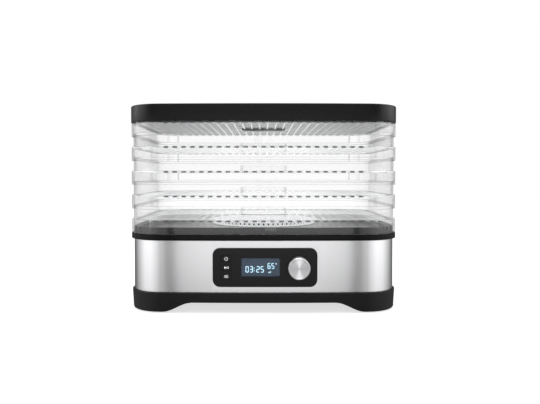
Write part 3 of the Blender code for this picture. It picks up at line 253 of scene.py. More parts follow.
def sweep(plan, section, rounds=(), closed=True, bow_steps=10, corner_steps=12, side_steps=2):
    """A section of (inset, z) points carried round the plan. An open section is capped top and bottom."""
    arc_y, corner_x, corner_y, turn = corner_centre(plan)
    bm = outline_section([(inset - plan.depth / 2, z) for inset, z in section], rounds, closed)
    made = bmesh.ops.spin(
        bm,
        geom=bm.verts[:] + bm.edges[:],
        cent=(0, arc_y, 0),
        axis=(0, 0, 1),
        angle=turn,
        steps=bow_steps,
        use_merge=False,
    )
    made = bmesh.ops.spin(
        bm,
        geom=made["geom_last"],
        cent=(corner_x, -corner_y, 0),
        axis=(0, 0, 1),
        angle=math.pi / 2 - turn,
        steps=corner_steps,
        use_merge=False,
    )
    last = made["geom_last"]
    for _ in range(side_steps):
        last = bmesh.ops.extrude_edge_only(bm, edges=of_type(last, bmesh.types.BMEdge))["geom"]
        bmesh.ops.translate(bm, verts=of_type(last, bmesh.types.BMVert), vec=(0, corner_y / side_steps, 0))
    for axis in ("X", "Y"):
        bmesh.ops.mirror(bm, geom=bm.verts[:] + bm.edges[:] + bm.faces[:], merge_dist=1e-6, axis=axis)
    bmesh.ops.remove_doubles(bm, verts=bm.verts[:], dist=1e-6)
    if not closed:
        bmesh.ops.holes_fill(bm, edges=[edge for edge in bm.edges if edge.is_boundary], sides=0)
    bmesh.ops.recalc_face_normals(bm, faces=bm.faces[:])
    bmesh.ops.translate(bm, verts=bm.verts[:], vec=(0, CENTRE_Y, 0))
    return bm


def turned(profile, rounds=(), closed=False, steps=64):
    """A section of (radius, z) points spun about the Z axis."""
    bm = outline_section(profile, rounds, closed)
    bmesh.ops.spin(
        bm,
        geom=bm.verts[:] + bm.edges[:],
        cent=(0, 0, 0),
        axis=(0, 0, 1),
        angle=math.tau,
        steps=steps,
        use_merge=True,
    )
    bmesh.ops.remove_doubles(bm, verts=bm.verts[:], dist=1e-6)
    bmesh.ops.recalc_face_normals(bm, faces=bm.faces[:])
    return bm


def rounded_sheet(width, height, radius, segments=8):
    """One flat face, a rectangle with round corners, about the origin."""
    bm = bmesh.new()
    bmesh.ops.create_grid(bm, x_segments=1, y_segments=1, size=0.5)
    bmesh.ops.scale(bm, vec=(width, height, 1), verts=bm.verts[:])
    if radius:
        bmesh.ops.bevel(
            bm,
            geom=bm.verts[:],
            offset=radius,
            segments=segments,
            profile=0.5,
            affect="VERTICES",
            material=-1,
        )
    return bm


def thicken(bm, low, high, soft=0.0):
    """Turn a flat sheet into a slab between two levels, its upper edge softened."""
    bmesh.ops.translate(bm, verts=bm.verts[:], vec=(0, 0, low))
    made = bmesh.ops.extrude_face_region(bm, geom=bm.faces[:], use_keep_orig=True)["geom"]
    bmesh.ops.translate(bm, verts=of_type(made, bmesh.types.BMVert), vec=(0, 0, high - low))
    bmesh.ops.recalc_face_normals(bm, faces=bm.faces[:])
    if soft:
        rim = [edge for edge in bm.edges if sharp(edge) and all(v.co.z > high - 1e-6 for v in edge.verts)]
        soften(bm, rim, soft)
    return bm


def sharp(edge):
    return len(edge.link_faces) == 2 and edge.calc_face_angle(0) > math.radians(40)


def soften(bm, edges, offset, segments=3):
    bmesh.ops.bevel(
        bm, geom=edges, offset=offset, segments=segments, profile=0.5, affect="EDGES", material=-1
    )


def slab(width, height, radius, low, high, x=0.0, y=0.0, soft=0.0, segments=8):
    """A rounded slab lying flat."""
    bm = thicken(rounded_sheet(width, height, radius, segments), low, high, soft)
    bmesh.ops.translate(bm, verts=bm.verts[:], vec=(x, y, 0))
    return bm


def stand(bm, x=0.0, z=0.0):
    """Stand a mesh up so that its own +Z faces the user, with its middle at x, z."""
    bm.transform(Matrix.Translation((x, CENTRE_Y, z)) @ Matrix.Rotation(math.pi / 2, 4, "X"))
    return bm


def merged(parts):
    """Several meshes as one."""
    whole = bmesh.new()
    for part in parts:
        mesh = bpy.data.meshes.new("part")
        part.to_mesh(mesh)
        part.free()
        whole.from_mesh(mesh)
        bpy.data.meshes.remove(mesh)
    return whole


def bar(size, soft, place=None):
    """A bar with softened edges."""
    bm = bmesh.new()
    bmesh.ops.create_cube(bm, size=1)
    bmesh.ops.scale(bm, vec=size, verts=bm.verts[:])
    soften(bm, bm.edges[:], soft, 1)
    if place:
        bm.transform(place)
    return bm


# ---------------------------------------------------------------- objects
def smooth(mesh, degrees=35):
    mesh.shade_smooth()
    mesh.set_sharp_from_angle(angle=math.radians(degrees))


def plain_object(name, bm):
    mesh = bpy.data.meshes.new(name)
    bm.to_mesh(mesh)
    bm.free()
    made = bpy.data.objects.new(name, mesh)
    bpy.context.scene.collection.objects.link(made)
    return made


def combine(piece, bm, operation="DIFFERENCE"):
    """Cut a mesh out of a piece, or join it on, and keep the result as the piece's own mesh."""
    tool = plain_object("tool", bm)
    modifier = piece.modifiers.new("combine", "BOOLEAN")
    modifier.operation = operation
    modifier.object = tool
    modifier.solver = "EXACT"
    bpy.context.view_layer.update()
    finished = bpy.data.meshes.new_from_object(piece.evaluated_get(bpy.context.evaluated_depsgraph_get()))
    before = piece.data
    piece.modifiers.remove(modifier)
    piece.data = finished
    finished.name = piece.name
    bpy.data.meshes.remove(before)
    bpy.data.meshes.remove(tool.data)
    return piece


def finish_piece(piece, body, looks, stands_for=()):
    """Give a piece its finishes, hang it on its body and hide the frame nodes it stands for."""
    kept = [min(face.material_index, len(looks) - 1) for face in piece.data.polygons]
    piece.data.materials.clear()
    for look in looks:
        piece.data.materials.append(bpy.data.materials[look])
    for face, index in zip(piece.data.polygons, kept):
        face.material_index = index
    smooth(piece.data)
    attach(piece, body)
    if stands_for:
        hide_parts(*stands_for)
    return piece


# ---------------------------------------------------------------- material nodes
def put(tree, kind, values=None, **settings):
    """A node with its input values and settings."""
    node = tree.nodes.new(kind)
    node.location = (-1400 + 220 * (len(tree.nodes) % 7), 500 - 260 * (len(tree.nodes) // 7))
    for name, value in settings.items():
        setattr(node, name, value)
    for name, value in (values or {}).items():
        if isinstance(value, bpy.types.NodeSocket):
            tree.links.new(value, node.inputs[name])
        else:
            node.inputs[name].default_value = value
    return node


def maths(tree, operation, first, second=0.0, third=0.0, clamp=False):
    node = put(tree, "ShaderNodeMath", operation=operation, use_clamp=clamp)
    for index, value in enumerate((first, second, third)):
        if isinstance(value, bpy.types.NodeSocket):
            tree.links.new(value, node.inputs[index])
        else:
            node.inputs[index].default_value = value
    return node.outputs[0]


def blend(tree, factor, first, second, mode="MIX"):
    """A colour mix."""
    node = put(tree, "ShaderNodeMix", data_type="RGBA", blend_type=mode, clamp_factor=True)
    for socket, value in ((node.inputs[0], factor), (node.inputs[6], first), (node.inputs[7], second)):
        if isinstance(value, bpy.types.NodeSocket):
            tree.links.new(value, socket)
        elif socket == node.inputs[0]:
            socket.default_value = value
        else:
            socket.default_value = (*value, 1)
    return node.outputs[2]


def effect(name, inputs, outputs):
    """An empty node group with named sockets. Returns it with its input and output nodes."""
    group = bpy.data.node_groups.new(name, "ShaderNodeTree")
    for title, kind, default in inputs:
        socket = group.interface.new_socket(title, in_out="INPUT", socket_type=kind)
        if default is not None:
            socket.default_value = default
    for title, kind in outputs:
        group.interface.new_socket(title, in_out="OUTPUT", socket_type=kind)
    return group, group.nodes.new("NodeGroupInput"), group.nodes.new("NodeGroupOutput")


def moulded_effect():
    """Moulded plastic: a fine grain, with faint broad changes of shade and gloss."""
    group, given, result = effect(
        "moulded plastic",
        [
            ("Vector", "NodeSocketVector", None),
            ("Colour", "NodeSocketColor", (0.5, 0.5, 0.5, 1)),
            ("Shade", "NodeSocketFloat", 0.1),
            ("Grain Size", "NodeSocketFloat", 1500.0),
            ("Roughness", "NodeSocketFloat", 0.4),
            ("Spread", "NodeSocketFloat", 0.1),
        ],
        [("Colour", "NodeSocketColor"), ("Roughness", "NodeSocketFloat"), ("Height", "NodeSocketFloat")],
    )
    vector = given.outputs["Vector"]
    grain = given.outputs["Grain Size"]
    fine = put(group, "ShaderNodeTexNoise", {"Vector": vector, "Scale": grain, "Detail": 3.0})
    broad = put(group, "ShaderNodeTexNoise", {"Vector": vector, "Scale": 22.0, "Detail": 4.0})
    streak = put(group, "ShaderNodeTexNoise", {"Vector": vector, "Scale": 95.0, "Detail": 2.0})
    shade = maths(group, "SUBTRACT", broad.outputs["Fac"], 0.5)
    shade = maths(group, "MULTIPLY_ADD", shade, given.outputs["Shade"], 1.0)
    tint = put(group, "ShaderNodeVectorMath", {0: given.outputs["Colour"]}, operation="SCALE")
    group.links.new(shade, tint.inputs["Scale"])
    group.links.new(tint.outputs[0], result.inputs["Colour"])
    gloss = maths(group, "ADD", broad.outputs["Fac"], streak.outputs["Fac"])
    gloss = maths(group, "SUBTRACT", gloss, 1.0)
    gloss = maths(group, "MULTIPLY_ADD", gloss, given.outputs["Spread"], given.outputs["Roughness"])
    group.links.new(gloss, result.inputs["Roughness"])
    group.links.new(fine.outputs["Fac"], result.inputs["Height"])


def brushed_effect():
    """Brushed metal: lines drawn out along one direction of the vector that comes in."""
    group, given, result = effect(
        "brushed metal",
        [
            ("Vector", "NodeSocketVector", None),
            ("Colour", "NodeSocketColor", (0.6, 0.6, 0.6, 1)),
            ("Shade", "NodeSocketFloat", 0.1),
            ("Roughness", "NodeSocketFloat", 0.25),
            ("Spread", "NodeSocketFloat", 0.1),
        ],
        [("Colour", "NodeSocketColor"), ("Roughness", "NodeSocketFloat"), ("Height", "NodeSocketFloat")],
    )
    lines = put(
        group,
        "ShaderNodeTexNoise",
        {"Vector": given.outputs["Vector"], "Scale": 1.0, "Detail": 5.0, "Roughness": 0.65},
    )
    level = maths(group, "SUBTRACT", lines.outputs["Fac"], 0.5)
    shade = maths(group, "MULTIPLY_ADD", level, given.outputs["Shade"], 1.0)
    tint = put(group, "ShaderNodeVectorMath", {0: given.outputs["Colour"]}, operation="SCALE")
    group.links.new(shade, tint.inputs["Scale"])
    group.links.new(tint.outputs[0], result.inputs["Colour"])
    gloss = maths(group, "MULTIPLY_ADD", level, given.outputs["Spread"], given.outputs["Roughness"])
    group.links.new(gloss, result.inputs["Roughness"])
    group.links.new(lines.outputs["Fac"], result.inputs["Height"])


def dust_effect():
    """A thin uneven film of dust on faces that look up."""
    group, given, result = effect(
        "dust film",
        [
            ("Vector", "NodeSocketVector", None),
            ("Colour", "NodeSocketColor", (0.5, 0.5, 0.5, 1)),
            ("Amount", "NodeSocketFloat", 0.05),
        ],
        [("Colour", "NodeSocketColor")],
    )
    specks = put(
        group, "ShaderNodeTexNoise", {"Vector": given.outputs["Vector"], "Scale": 160.0, "Detail": 6.0}
    )
    geometry = put(group, "ShaderNodeNewGeometry")
    normal = put(group, "ShaderNodeSeparateXYZ", {"Vector": geometry.outputs["Normal"]})
    facing = maths(group, "MAXIMUM", normal.outputs["Z"], 0.0)
    share = maths(group, "MULTIPLY", facing, given.outputs["Amount"])
    share = maths(group, "MULTIPLY", share, specks.outputs["Fac"], clamp=True)
    dusty = blend(group, share, given.outputs["Colour"], (0.55, 0.53, 0.50))
    group.links.new(dusty, result.inputs["Colour"])


def use_effect(tree, name, values):
    node = tree.nodes.new("ShaderNodeGroup")
    node.node_tree = bpy.data.node_groups[name]
    node.location = (-700, 100)
    for title, value in values.items():
        if isinstance(value, bpy.types.NodeSocket):
            tree.links.new(value, node.inputs[title])
        elif isinstance(value, (int, float)):
            node.inputs[title].default_value = value
        else:
            node.inputs[title].default_value = (*value, 1)
    return node


def new_look(name):
    """An empty material with its Principled shader. Returns the tree, the shader and object coordinates."""
    made = bpy.data.materials.new(name)
    made.use_nodes = True
    tree = made.node_tree
    shader = tree.nodes["Principled BSDF"]
    where = put(tree, "ShaderNodeTexCoord")
    return made, tree, shader, where.outputs["Object"]


def connect_surface(tree, shader, source, colour_socket, bump, distance):
    tree.links.new(colour_socket, shader.inputs["Base Color"])
    tree.links.new(source.outputs["Roughness"], shader.inputs["Roughness"])
    height = source.outputs["Height"]
    relief = put(tree, "ShaderNodeBump", {"Strength": bump, "Distance": distance, "Height": height})
    tree.links.new(relief.outputs["Normal"], shader.inputs["Normal"])


def moulded(
    name, tint, roughness, grain=1500.0, shade=0.12, spread=0.10, bump=0.25, dust=0.0, mirror=0.5, glow=0.0
):
    """Moulded plastic, rubber or card.

    mirror is how strongly its surface reflects, glow a little light of its own for a pale piece in shade.
    """
    made, tree, shader, where = new_look(name)
    surface = use_effect(
        tree,
        "moulded plastic",
        {
            "Vector": where,
            "Colour": tint,
            "Shade": shade,
            "Grain Size": grain,
            "Roughness": roughness,
            "Spread": spread,
        },
    )
    colour_socket = surface.outputs["Colour"]
    if dust:
        film = use_effect(tree, "dust film", {"Vector": where, "Colour": colour_socket, "Amount": dust})
        colour_socket = film.outputs["Colour"]
    connect_surface(tree, shader, surface, colour_socket, bump, 0.00003)
    shader.inputs["Specular IOR Level"].default_value = mirror
    if glow:
        tree.links.new(colour_socket, shader.inputs["Emission Color"])
        shader.inputs["Emission Strength"].default_value = glow
    return made


def brushed(name, tint, roughness, stretch, shade=0.10, spread=0.12, bump=0.15, anisotropy=0.0):
    """Metal with lines drawn out along the axis whose stretch is smallest."""
    made, tree, shader, where = new_look(name)
    drawn = put(tree, "ShaderNodeMapping", {"Vector": where, "Scale": stretch})
    surface = use_effect(
        tree,
        "brushed metal",
        {
            "Vector": drawn.outputs["Vector"],
            "Colour": tint,
            "Shade": shade,
            "Roughness": roughness,
            "Spread": spread,
        },
    )
    connect_surface(tree, shader, surface, surface.outputs["Colour"], bump, 0.00002)
    shader.inputs["Metallic"].default_value = 1.0
    if anisotropy:
        shader.inputs["Anisotropic"].default_value = anisotropy
        shader.inputs["Anisotropic Rotation"].default_value = 0.25
        around = put(tree, "ShaderNodeTangent", direction_type="RADIAL", axis="Z")
        tree.links.new(around.outputs[0], shader.inputs["Tangent"])
    return made


def spun(name, tint, roughness, centre):
    """Metal turned on a lathe, its grooves in rings about an axis that faces the user. Its colour holds a
    painted highlight: lighter wedges above and below the middle, darker at the sides.
    """
    made, tree, shader, where = new_look(name)
    moved = put(tree, "ShaderNodeMapping", {"Vector": where, "Location": (-centre.x, 0.0, -centre.z)})
    split = put(tree, "ShaderNodeSeparateXYZ", {"Vector": moved.outputs["Vector"]})
    flat = put(tree, "ShaderNodeCombineXYZ", {"X": split.outputs["X"], "Y": split.outputs["Z"]})
    far = put(tree, "ShaderNodeVectorMath", {0: flat.outputs["Vector"]}, operation="LENGTH")
    rings = put(tree, "ShaderNodeCombineXYZ", {"X": maths(tree, "MULTIPLY", far.outputs["Value"], 9000.0)})
    # Painted highlight: the colour is lighter in a bow-tie above and below the middle and darker at the
    # sides, with a faint six-fold ripple.
    turn = maths(tree, "ARCTAN2", split.outputs["X"], split.outputs["Z"])
    fan = maths(tree, "POWER", maths(tree, "ABSOLUTE", maths(tree, "COSINE", turn)), 6.0)
    highlight_ripple = maths(tree, "MULTIPLY", maths(tree, "COSINE", maths(tree, "MULTIPLY", turn, 6.0)), 0.12)
    painted_highlight = maths(tree, "ADD", fan, highlight_ripple, clamp=True)
    surface = use_effect(
        tree,
        "brushed metal",
        {
            "Vector": rings.outputs["Vector"],
            "Colour": blend(tree, painted_highlight, tuple(c * 0.74 for c in tint), tuple(c * 1.3 for c in tint)),
            "Shade": 0.16,
            "Roughness": roughness,
            "Spread": 0.14,
        },
    )
    connect_surface(tree, shader, surface, surface.outputs["Colour"], 0.35, 0.00002)
    shader.inputs["Metallic"].default_value = 1.0
    shader.inputs["Anisotropic"].default_value = 0.8
    shader.inputs["Anisotropic Rotation"].default_value = 0.25
    rings_way = put(tree, "ShaderNodeTangent", direction_type="RADIAL", axis="Y")
    tree.links.new(rings_way.outputs[0], shader.inputs["Tangent"])
    return made


def clear_plastic(name, tint, milk, edge_dark, gloss=0.06, depth_tint=0.30, glow=0.0):
    """Clear moulded plastic: mostly see-through, mirrors at its edges and holds a little milk.

    glow is a little light of its own, in place of the light that a milky plastic scatters.
    """
    made, tree, shader, where = new_look(name)
    marks = use_effect(
        tree,
        "moulded plastic",
        {
            "Vector": where,
            "Colour": tint,
            "Shade": 0.06,
            "Grain Size": 420.0,
            "Roughness": 0.22,
            "Spread": 0.12,
        },
    )
    tree.links.new(marks.outputs["Colour"], shader.inputs["Base Color"])
    tree.links.new(marks.outputs["Roughness"], shader.inputs["Roughness"])
    if glow:
        tree.links.new(marks.outputs["Colour"], shader.inputs["Emission Color"])
        shader.inputs["Emission Strength"].default_value = glow
    height = marks.outputs["Height"]
    relief = put(tree, "ShaderNodeBump", {"Strength": 0.12, "Distance": 0.0001, "Height": height})
    tree.links.new(relief.outputs["Normal"], shader.inputs["Normal"])
    grazing = put(tree, "ShaderNodeLayerWeight", {"Blend": 0.35})
    rim = maths(tree, "POWER", grazing.outputs["Facing"], 3.2)
    through = blend(tree, rim, (1.0 - 0.02 * edge_dark,) * 3, (max(1.0 - edge_dark, 0.0),) * 3)
    clear = put(tree, "ShaderNodeBsdfTransparent", {"Color": through})
    held = maths(tree, "MULTIPLY_ADD", rim, depth_tint, milk, clamp=True)
    body = put(tree, "ShaderNodeMixShader", {"Fac": held})
    tree.links.new(clear.outputs[0], body.inputs[1])
    tree.links.new(shader.outputs[0], body.inputs[2])
    shine = put(tree, "ShaderNodeBsdfGlossy", {"Roughness": gloss, "Color": (1, 1, 1, 1)})
    fresnel = put(tree, "ShaderNodeFresnel", {"IOR": 1.49})
    skin = put(tree, "ShaderNodeMixShader", {"Fac": fresnel.outputs[0]})
    tree.links.new(body.outputs[0], skin.inputs[1])
    tree.links.new(shine.outputs[0], skin.inputs[2])
    away = put(tree, "ShaderNodeBsdfTransparent")
    geometry = put(tree, "ShaderNodeNewGeometry")
    back = put(tree, "ShaderNodeMixShader", {"Fac": geometry.outputs["Backfacing"]})
    tree.links.new(skin.outputs[0], back.inputs[1])
    tree.links.new(away.outputs[0], back.inputs[2])
    tree.links.new(back.outputs[0], tree.nodes["Material Output"].inputs["Surface"])
    return made


def window_glass(name):
    """The display's dark tinted window."""
    made, tree, shader, where = new_look(name)
    smear = put(tree, "ShaderNodeTexNoise", {"Vector": where, "Scale": 60.0, "Detail": 3.0})
    rough = maths(tree, "MULTIPLY_ADD", smear.outputs["Fac"], 0.06, 0.03)
    tree.links.new(rough, shader.inputs["Roughness"])
    tone = blend(tree, smear.outputs["Fac"], (0.010, 0.014, 0.020), (0.014, 0.018, 0.026))
    tree.links.new(tone, shader.inputs["Base Color"])
    solid = maths(tree, "MULTIPLY_ADD", smear.outputs["Fac"], 0.04, 0.16)
    tree.links.new(solid, shader.inputs["Alpha"])
    return made


def glowing(name, tint, strength):
    """Lit segments of the display, a little uneven."""
    made, tree, shader, where = new_look(name)
    haze = put(tree, "ShaderNodeTexNoise", {"Vector": where, "Scale": 500.0, "Detail": 2.0})
    lit = blend(tree, haze.outputs["Fac"], tuple(c * 0.9 for c in tint), tint)
    tree.links.new(lit, shader.inputs["Emission Color"])
    tree.links.new(lit, shader.inputs["Base Color"])
    shader.inputs["Emission Strength"].default_value = strength
    shader.inputs["Roughness"].default_value = 0.5
    return made


def screen_look(name, tint):
    """The unlit part of the display: a faint grid of cells behind the window."""
    made, tree, shader, where = new_look(name)
    cells = put(tree, "ShaderNodeTexVoronoi", {"Vector": where, "Scale": 2600.0}, distance="CHEBYCHEV")
    tone = blend(tree, cells.outputs["Distance"], tint, tuple(c * 0.6 for c in tint))
    tree.links.new(tone, shader.inputs["Base Color"])
    tree.links.new(tone, shader.inputs["Emission Color"])
    shader.inputs["Emission Strength"].default_value = 0.9
    shader.inputs["Roughness"].default_value = 0.35
    return made


def board_look(name):
    """A circuit board: green mask over copper tracks, with tinned spots."""
    made, tree, shader, where = new_look(name)
    tracks = put(tree, "ShaderNodeTexBrick", {"Vector": where, "Scale": 110.0, "Mortar Size": 0.03})
    tracks.inputs["Color1"].default_value = (0.020, 0.150, 0.060, 1)
    tracks.inputs["Color2"].default_value = (0.028, 0.180, 0.075, 1)
    tracks.inputs["Mortar"].default_value = (0.012, 0.080, 0.035, 1)
    spots = put(tree, "ShaderNodeTexVoronoi", {"Vector": where, "Scale": 260.0})
    tinned = maths(tree, "LESS_THAN", spots.outputs["Distance"], 0.16)
    tone = blend(tree, tinned, tracks.outputs["Color"], (0.62, 0.62, 0.60))
    tree.links.new(tone, shader.inputs["Base Color"])
    tree.links.new(maths(tree, "MULTIPLY", tinned, 0.9), shader.inputs["Metallic"])
    tree.links.new(maths(tree, "MULTIPLY_ADD", tinned, -0.15, 0.42), shader.inputs["Roughness"])
    return made


def banded(name, first, second, scale, direction, roughness, metallic=0.0):
    """Fine even bands: wound wire or the cores of a flat cable."""
    made, tree, shader, where = new_look(name)
    values = {"Vector": where, "Scale": scale, "Distortion": 0.4}
    bands = put(tree, "ShaderNodeTexWave", values, bands_direction=direction)
    tone = blend(tree, bands.outputs["Fac"], first, second)
    tree.links.new(tone, shader.inputs["Base Color"])
    gloss = maths(tree, "MULTIPLY_ADD", bands.outputs["Fac"], 0.12, roughness)
    tree.links.new(gloss, shader.inputs["Roughness"])
    height = bands.outputs["Fac"]
    relief = put(tree, "ShaderNodeBump", {"Strength": 0.4, "Distance": 0.0001, "Height": height})
    tree.links.new(relief.outputs["Normal"], shader.inputs["Normal"])
    shader.inputs["Metallic"].default_value = metallic
    return made


class DEHYDRATOR_OT_finishes(Operator):
    """Build every finish that the pieces use"""

    bl_idname = "dehydrator.finishes"
    bl_label = "Finishes"

    def execute(self, context):
        tints = context.scene.dehydrator_colours
        moulded_effect()
        brushed_effect()
        dust_effect()
        moulded("satin black plastic", tuple(tints.satin_black), 0.28, 1400.0, dust=0.01, mirror=0.14)
        gloss = {"spread": 0.04, "bump": 0.03}
        moulded("gloss black plastic", tuple(tints.gloss_black), 0.13, 300.0, mirror=0.08, **gloss)
        polished = tuple(c * 3 for c in tints.gloss_black)
        moulded("polished black plastic", polished, 0.12, 300.0, mirror=0.3, **gloss)
        brushed("brushed stainless", tuple(tints.steel), 0.24, (14.0, 14.0, 5200.0), anisotropy=0.85)
        clear_plastic("clear plastic", (0.46, 0.47, 0.48), 0.012, 0.85, depth_tint=0.34)
        clear_plastic("clear plastic edge", (0.26, 0.27, 0.28), 0.34, 0.70)
        clear_plastic("clear plastic lattice", tuple(tints.clear), 0.24, 0.30, glow=0.42)
        # Near-black webs: painted shade for the dark dashes under each tray's floor border.
        clear_plastic("web plastic with painted shade", (0.012, 0.012, 0.013), 0.95, 0.90)
        moulded("light grey plastic", tuple(tints.vent), 0.38, 1300.0, shade=0.06, glow=0.30)
        moulded("panel black", tuple(tints.fascia), 0.34, 2100.0, spread=0.08, mirror=0.16)
        moulded("key black", tuple(tints.fascia), 0.36, 2100.0, mirror=0.16)
        moulded("key legend", tuple(tints.legend), 0.45, 900.0, bump=0.05)
        window_glass("display window")
        screen_look("display screen", tuple(tints.screen))
        glowing("display digits", tuple(tints.glow), 1.1)
        spun("spun aluminium", tuple(tints.aluminium), 0.30, (KNOB_LOW + KNOB_HIGH) / 2)
        moulded("black rubber", (0.018, 0.018, 0.018), 0.75, 700.0, bump=0.6, dust=0.05)
        brushed("zinc steel", (0.52, 0.53, 0.54), 0.34, (300.0, 300.0, 900.0))
        moulded("heat resisting white", (0.74, 0.73, 0.69), 0.55, 900.0, dust=0.10)
        moulded("mica board", (0.50, 0.43, 0.31), 0.55, 240.0, shade=0.7, bump=0.5)
        brushed("resistance wire", (0.34, 0.29, 0.26), 0.42, (500.0, 500.0, 500.0), shade=0.6)
        banded("copper winding", (0.42, 0.17, 0.07), (0.72, 0.36, 0.18), 420.0, "Z", 0.30, 0.9)
        board_look("circuit board")
        moulded("relay blue", (0.04, 0.13, 0.36), 0.36, 1600.0)
        moulded("black lead", (0.025, 0.025, 0.026), 0.50, 800.0)
        moulded("red lead", (0.42, 0.035, 0.025), 0.50, 800.0)
        banded("ribbon grey", (0.36, 0.37, 0.39), (0.55, 0.56, 0.58), 250.0, "X", 0.50)
        return {"FINISHED"}


# ---------------------------------------------------------------- base casing
class DEHYDRATOR_OT_foot_skirt(Operator):
    """Black skirt with an arch along each side and a foot at each corner"""

    bl_idname = "dehydrator.foot_skirt"
    bl_label = "Foot skirt"

    def execute(self, context):
        plan, base = context.scene.dehydrator_plan, context.scene.dehydrator_base
        inner = base.skirt_inset + base.skirt_wall
        flange, edge = 0.003, 0.0035
        low, top = SKIRT_LOW.z, SKIRT_HIGH.z
        section = [
            (base.skirt_inset, top),
            (base.skirt_inset + base.skirt_taper, low + edge),
            (base.skirt_inset + base.skirt_taper, low),
            (inner, low),
            (inner, low + edge),
            (inner, top - flange),
            (inner + 0.010, top - flange),
            (inner + 0.010, top),
        ]
        rounds = [(0.0005, (0, 6, 7)), (0.0022, (2,)), (0.0006, (3,))]
        bm = sweep(plan, section, rounds, bow_steps=40, corner_steps=16, side_steps=16)
        corner_zone = plan.depth / 2 - 0.020
        for vertex in bm.verts:
            x, y = abs(vertex.co.x), abs(vertex.co.y - CENTRE_Y)
            if vertex.co.z > low + edge + 1e-6:
                continue
            along, half, scale = x, plan.width / 2, 1.0
            if y <= corner_zone:
                along, half = y, (plan.depth + base.arch_flat) / 2
                scale = plan.depth / (plan.depth + base.arch_flat)
            start, end = (half - base.arch_flat) * scale, (half - base.arch_end) * scale
            share = min(max((along - start) / (end - start), 0), 1)
            vertex.co.z += base.arch_height * (0.5 + 0.5 * math.cos(math.pi * share))
        piece = plain_object("skirt_shell", bm)
        finish_piece(piece, "base", ["satin black plastic"], ["foot_skirt"])
        return {"FINISHED"}


class DEHYDRATOR_OT_steel_band(Operator):
    """Brushed stainless band round the base, with the openings for the panel and the cord gland"""

    bl_idname = "dehydrator.steel_band"
    bl_label = "Stainless band"

    def execute(self, context):
        plan, base = context.scene.dehydrator_plan, context.scene.dehydrator_base
        sizes = context.scene.dehydrator_panel
        inner = base.band_inset + base.band_wall
        low, top = BAND_LOW.z, BAND_HIGH.z
        section = [(base.band_inset, low), (base.band_inset, top), (inner, top), (inner, low)]
        bm = sweep(plan, section, [(0.0003, (0, 1))], bow_steps=16, corner_steps=20, side_steps=3)
        piece = plain_object("stainless_band", bm)
        width = FASCIA_HIGH.x - FASCIA_LOW.x - 2 * sizes.flange + 2 * GAP
        height = FASCIA_HIGH.z - FASCIA_LOW.z - 2 * sizes.flange + 2 * GAP
        middle = (FASCIA_LOW + FASCIA_HIGH) / 2
        hole = slab(width, height, sizes.corner + GAP, plan.depth / 4, plan.depth)
        combine(piece, stand(hole, middle.x, middle.z))
        gland = (GLAND_LOW + GLAND_HIGH) / 2
        bore = bmesh.new()
        turn = Matrix.Translation((gland.x, plan.depth / 2, gland.z)) @ Matrix.Rotation(math.pi / 2, 4, "X")
        bmesh.ops.create_cone(
            bore,
            cap_ends=True,
            segments=32,
            radius1=0.0078,
            radius2=0.0078,
            depth=plan.depth / 4,
            matrix=turn,
        )
        combine(piece, bore)
        finish_piece(piece, "base", ["brushed stainless"], ["steel_band"])
        return {"FINISHED"}


class DEHYDRATOR_OT_bezel_ring(Operator):
    """Gloss black ring on top of the stainless band"""

    bl_idname = "dehydrator.bezel_ring"
    bl_label = "Bezel ring"

    def execute(self, context):
        plan, base = context.scene.dehydrator_plan, context.scene.dehydrator_base
        inner = base.bezel_inset + base.bezel_width
        low, top = BEZEL_LOW.z, BEZEL_HIGH.z
        section = [(base.bezel_inset, low), (base.bezel_inset, top), (inner, top), (inner, low)]
        bm = sweep(plan, section, [(0.0012, (0,)), (0.0009, (1,)), (0.0004, (2,))], corner_steps=20)
        piece = plain_object("base_bezel", bm)
        finish_piece(piece, "base", ["gloss black plastic"], ["bezel_ring"])
        return {"FINISHED"}


def rib_bars(plan, sizes, spread, top, bottom, clearance=0.0):
    """Upright ribs fanned round each corner of the plan, as separate bars."""
    _, corner_x, corner_y, _ = corner_centre(plan)
    outer = plan.corner - sizes.wall / 2
    reach, thick = 0.008, 0.0016
    bars = []
    for side_x in (-1, 1):
        for side_y in (-1, 1):
            base = math.atan2(side_y, side_x)
            for step in (-1, 0, 1):
                place = (
                    Matrix.Translation((side_x * corner_x, side_y * corner_y + CENTRE_Y, 0))
                    @ Matrix.Rotation(base + step * spread, 4, "Z")
                    @ Matrix.Translation((outer - (reach + clearance) / 2, 0, (top + bottom) / 2))
                )
                size = (reach + clearance, thick + 2 * clearance, top - bottom)
                bars.append(bar(size, 0.0003, place))
    return merged(bars)


class DEHYDRATOR_OT_top_deck(Operator):
    """Black deck that the lowest tray sits on, with a round air outlet in the middle"""

    bl_idname = "dehydrator.top_deck"
    bl_label = "Top deck"

    def execute(self, context):
        plan, base = context.scene.dehydrator_plan, context.scene.dehydrator_base
        inner = base.deck_inset + base.deck_wall
        floor = DECK_HIGH.z - base.deck_dish
        section = [
            (0.036, floor - base.deck_floor),
            (inner, floor - base.deck_floor),
            (inner, DECK_LOW.z),
            (base.deck_inset, DECK_LOW.z),
            (base.deck_inset, DECK_HIGH.z),
            (inner, DECK_HIGH.z),
            (inner + base.deck_dish / 2, floor),
            (0.036, floor),
        ]
        rounds = [(0.0008, (4, 5)), (0.0012, (6,)), (0.0003, (2, 3))]
        piece = plain_object("deck_plate", sweep(plan, section, rounds, closed=False, corner_steps=16))
        outlet = bmesh.new()
        place = Matrix.Translation((0, CENTRE_Y, floor))
        radius = (DUCT_HIGH.x - DUCT_LOW.x) / 2 - 0.0025
        bmesh.ops.create_cone(
            outlet, cap_ends=True, segments=96, radius1=radius, radius2=radius, depth=0.03, matrix=place
        )
        combine(piece, outlet)
        tray = context.scene.dehydrator_tray
        bottom = TRAY_LOW.z + tray.skirt - RIB_DROP - RIB_SLOT_GAP
        combine(piece, rib_bars(plan, tray, RIB_FAN, DECK_HIGH.z + 0.002, bottom, RIB_SLOT_GAP))
        finish_piece(piece, "base", ["polished black plastic"], ["top_deck"])
        return {"FINISHED"}


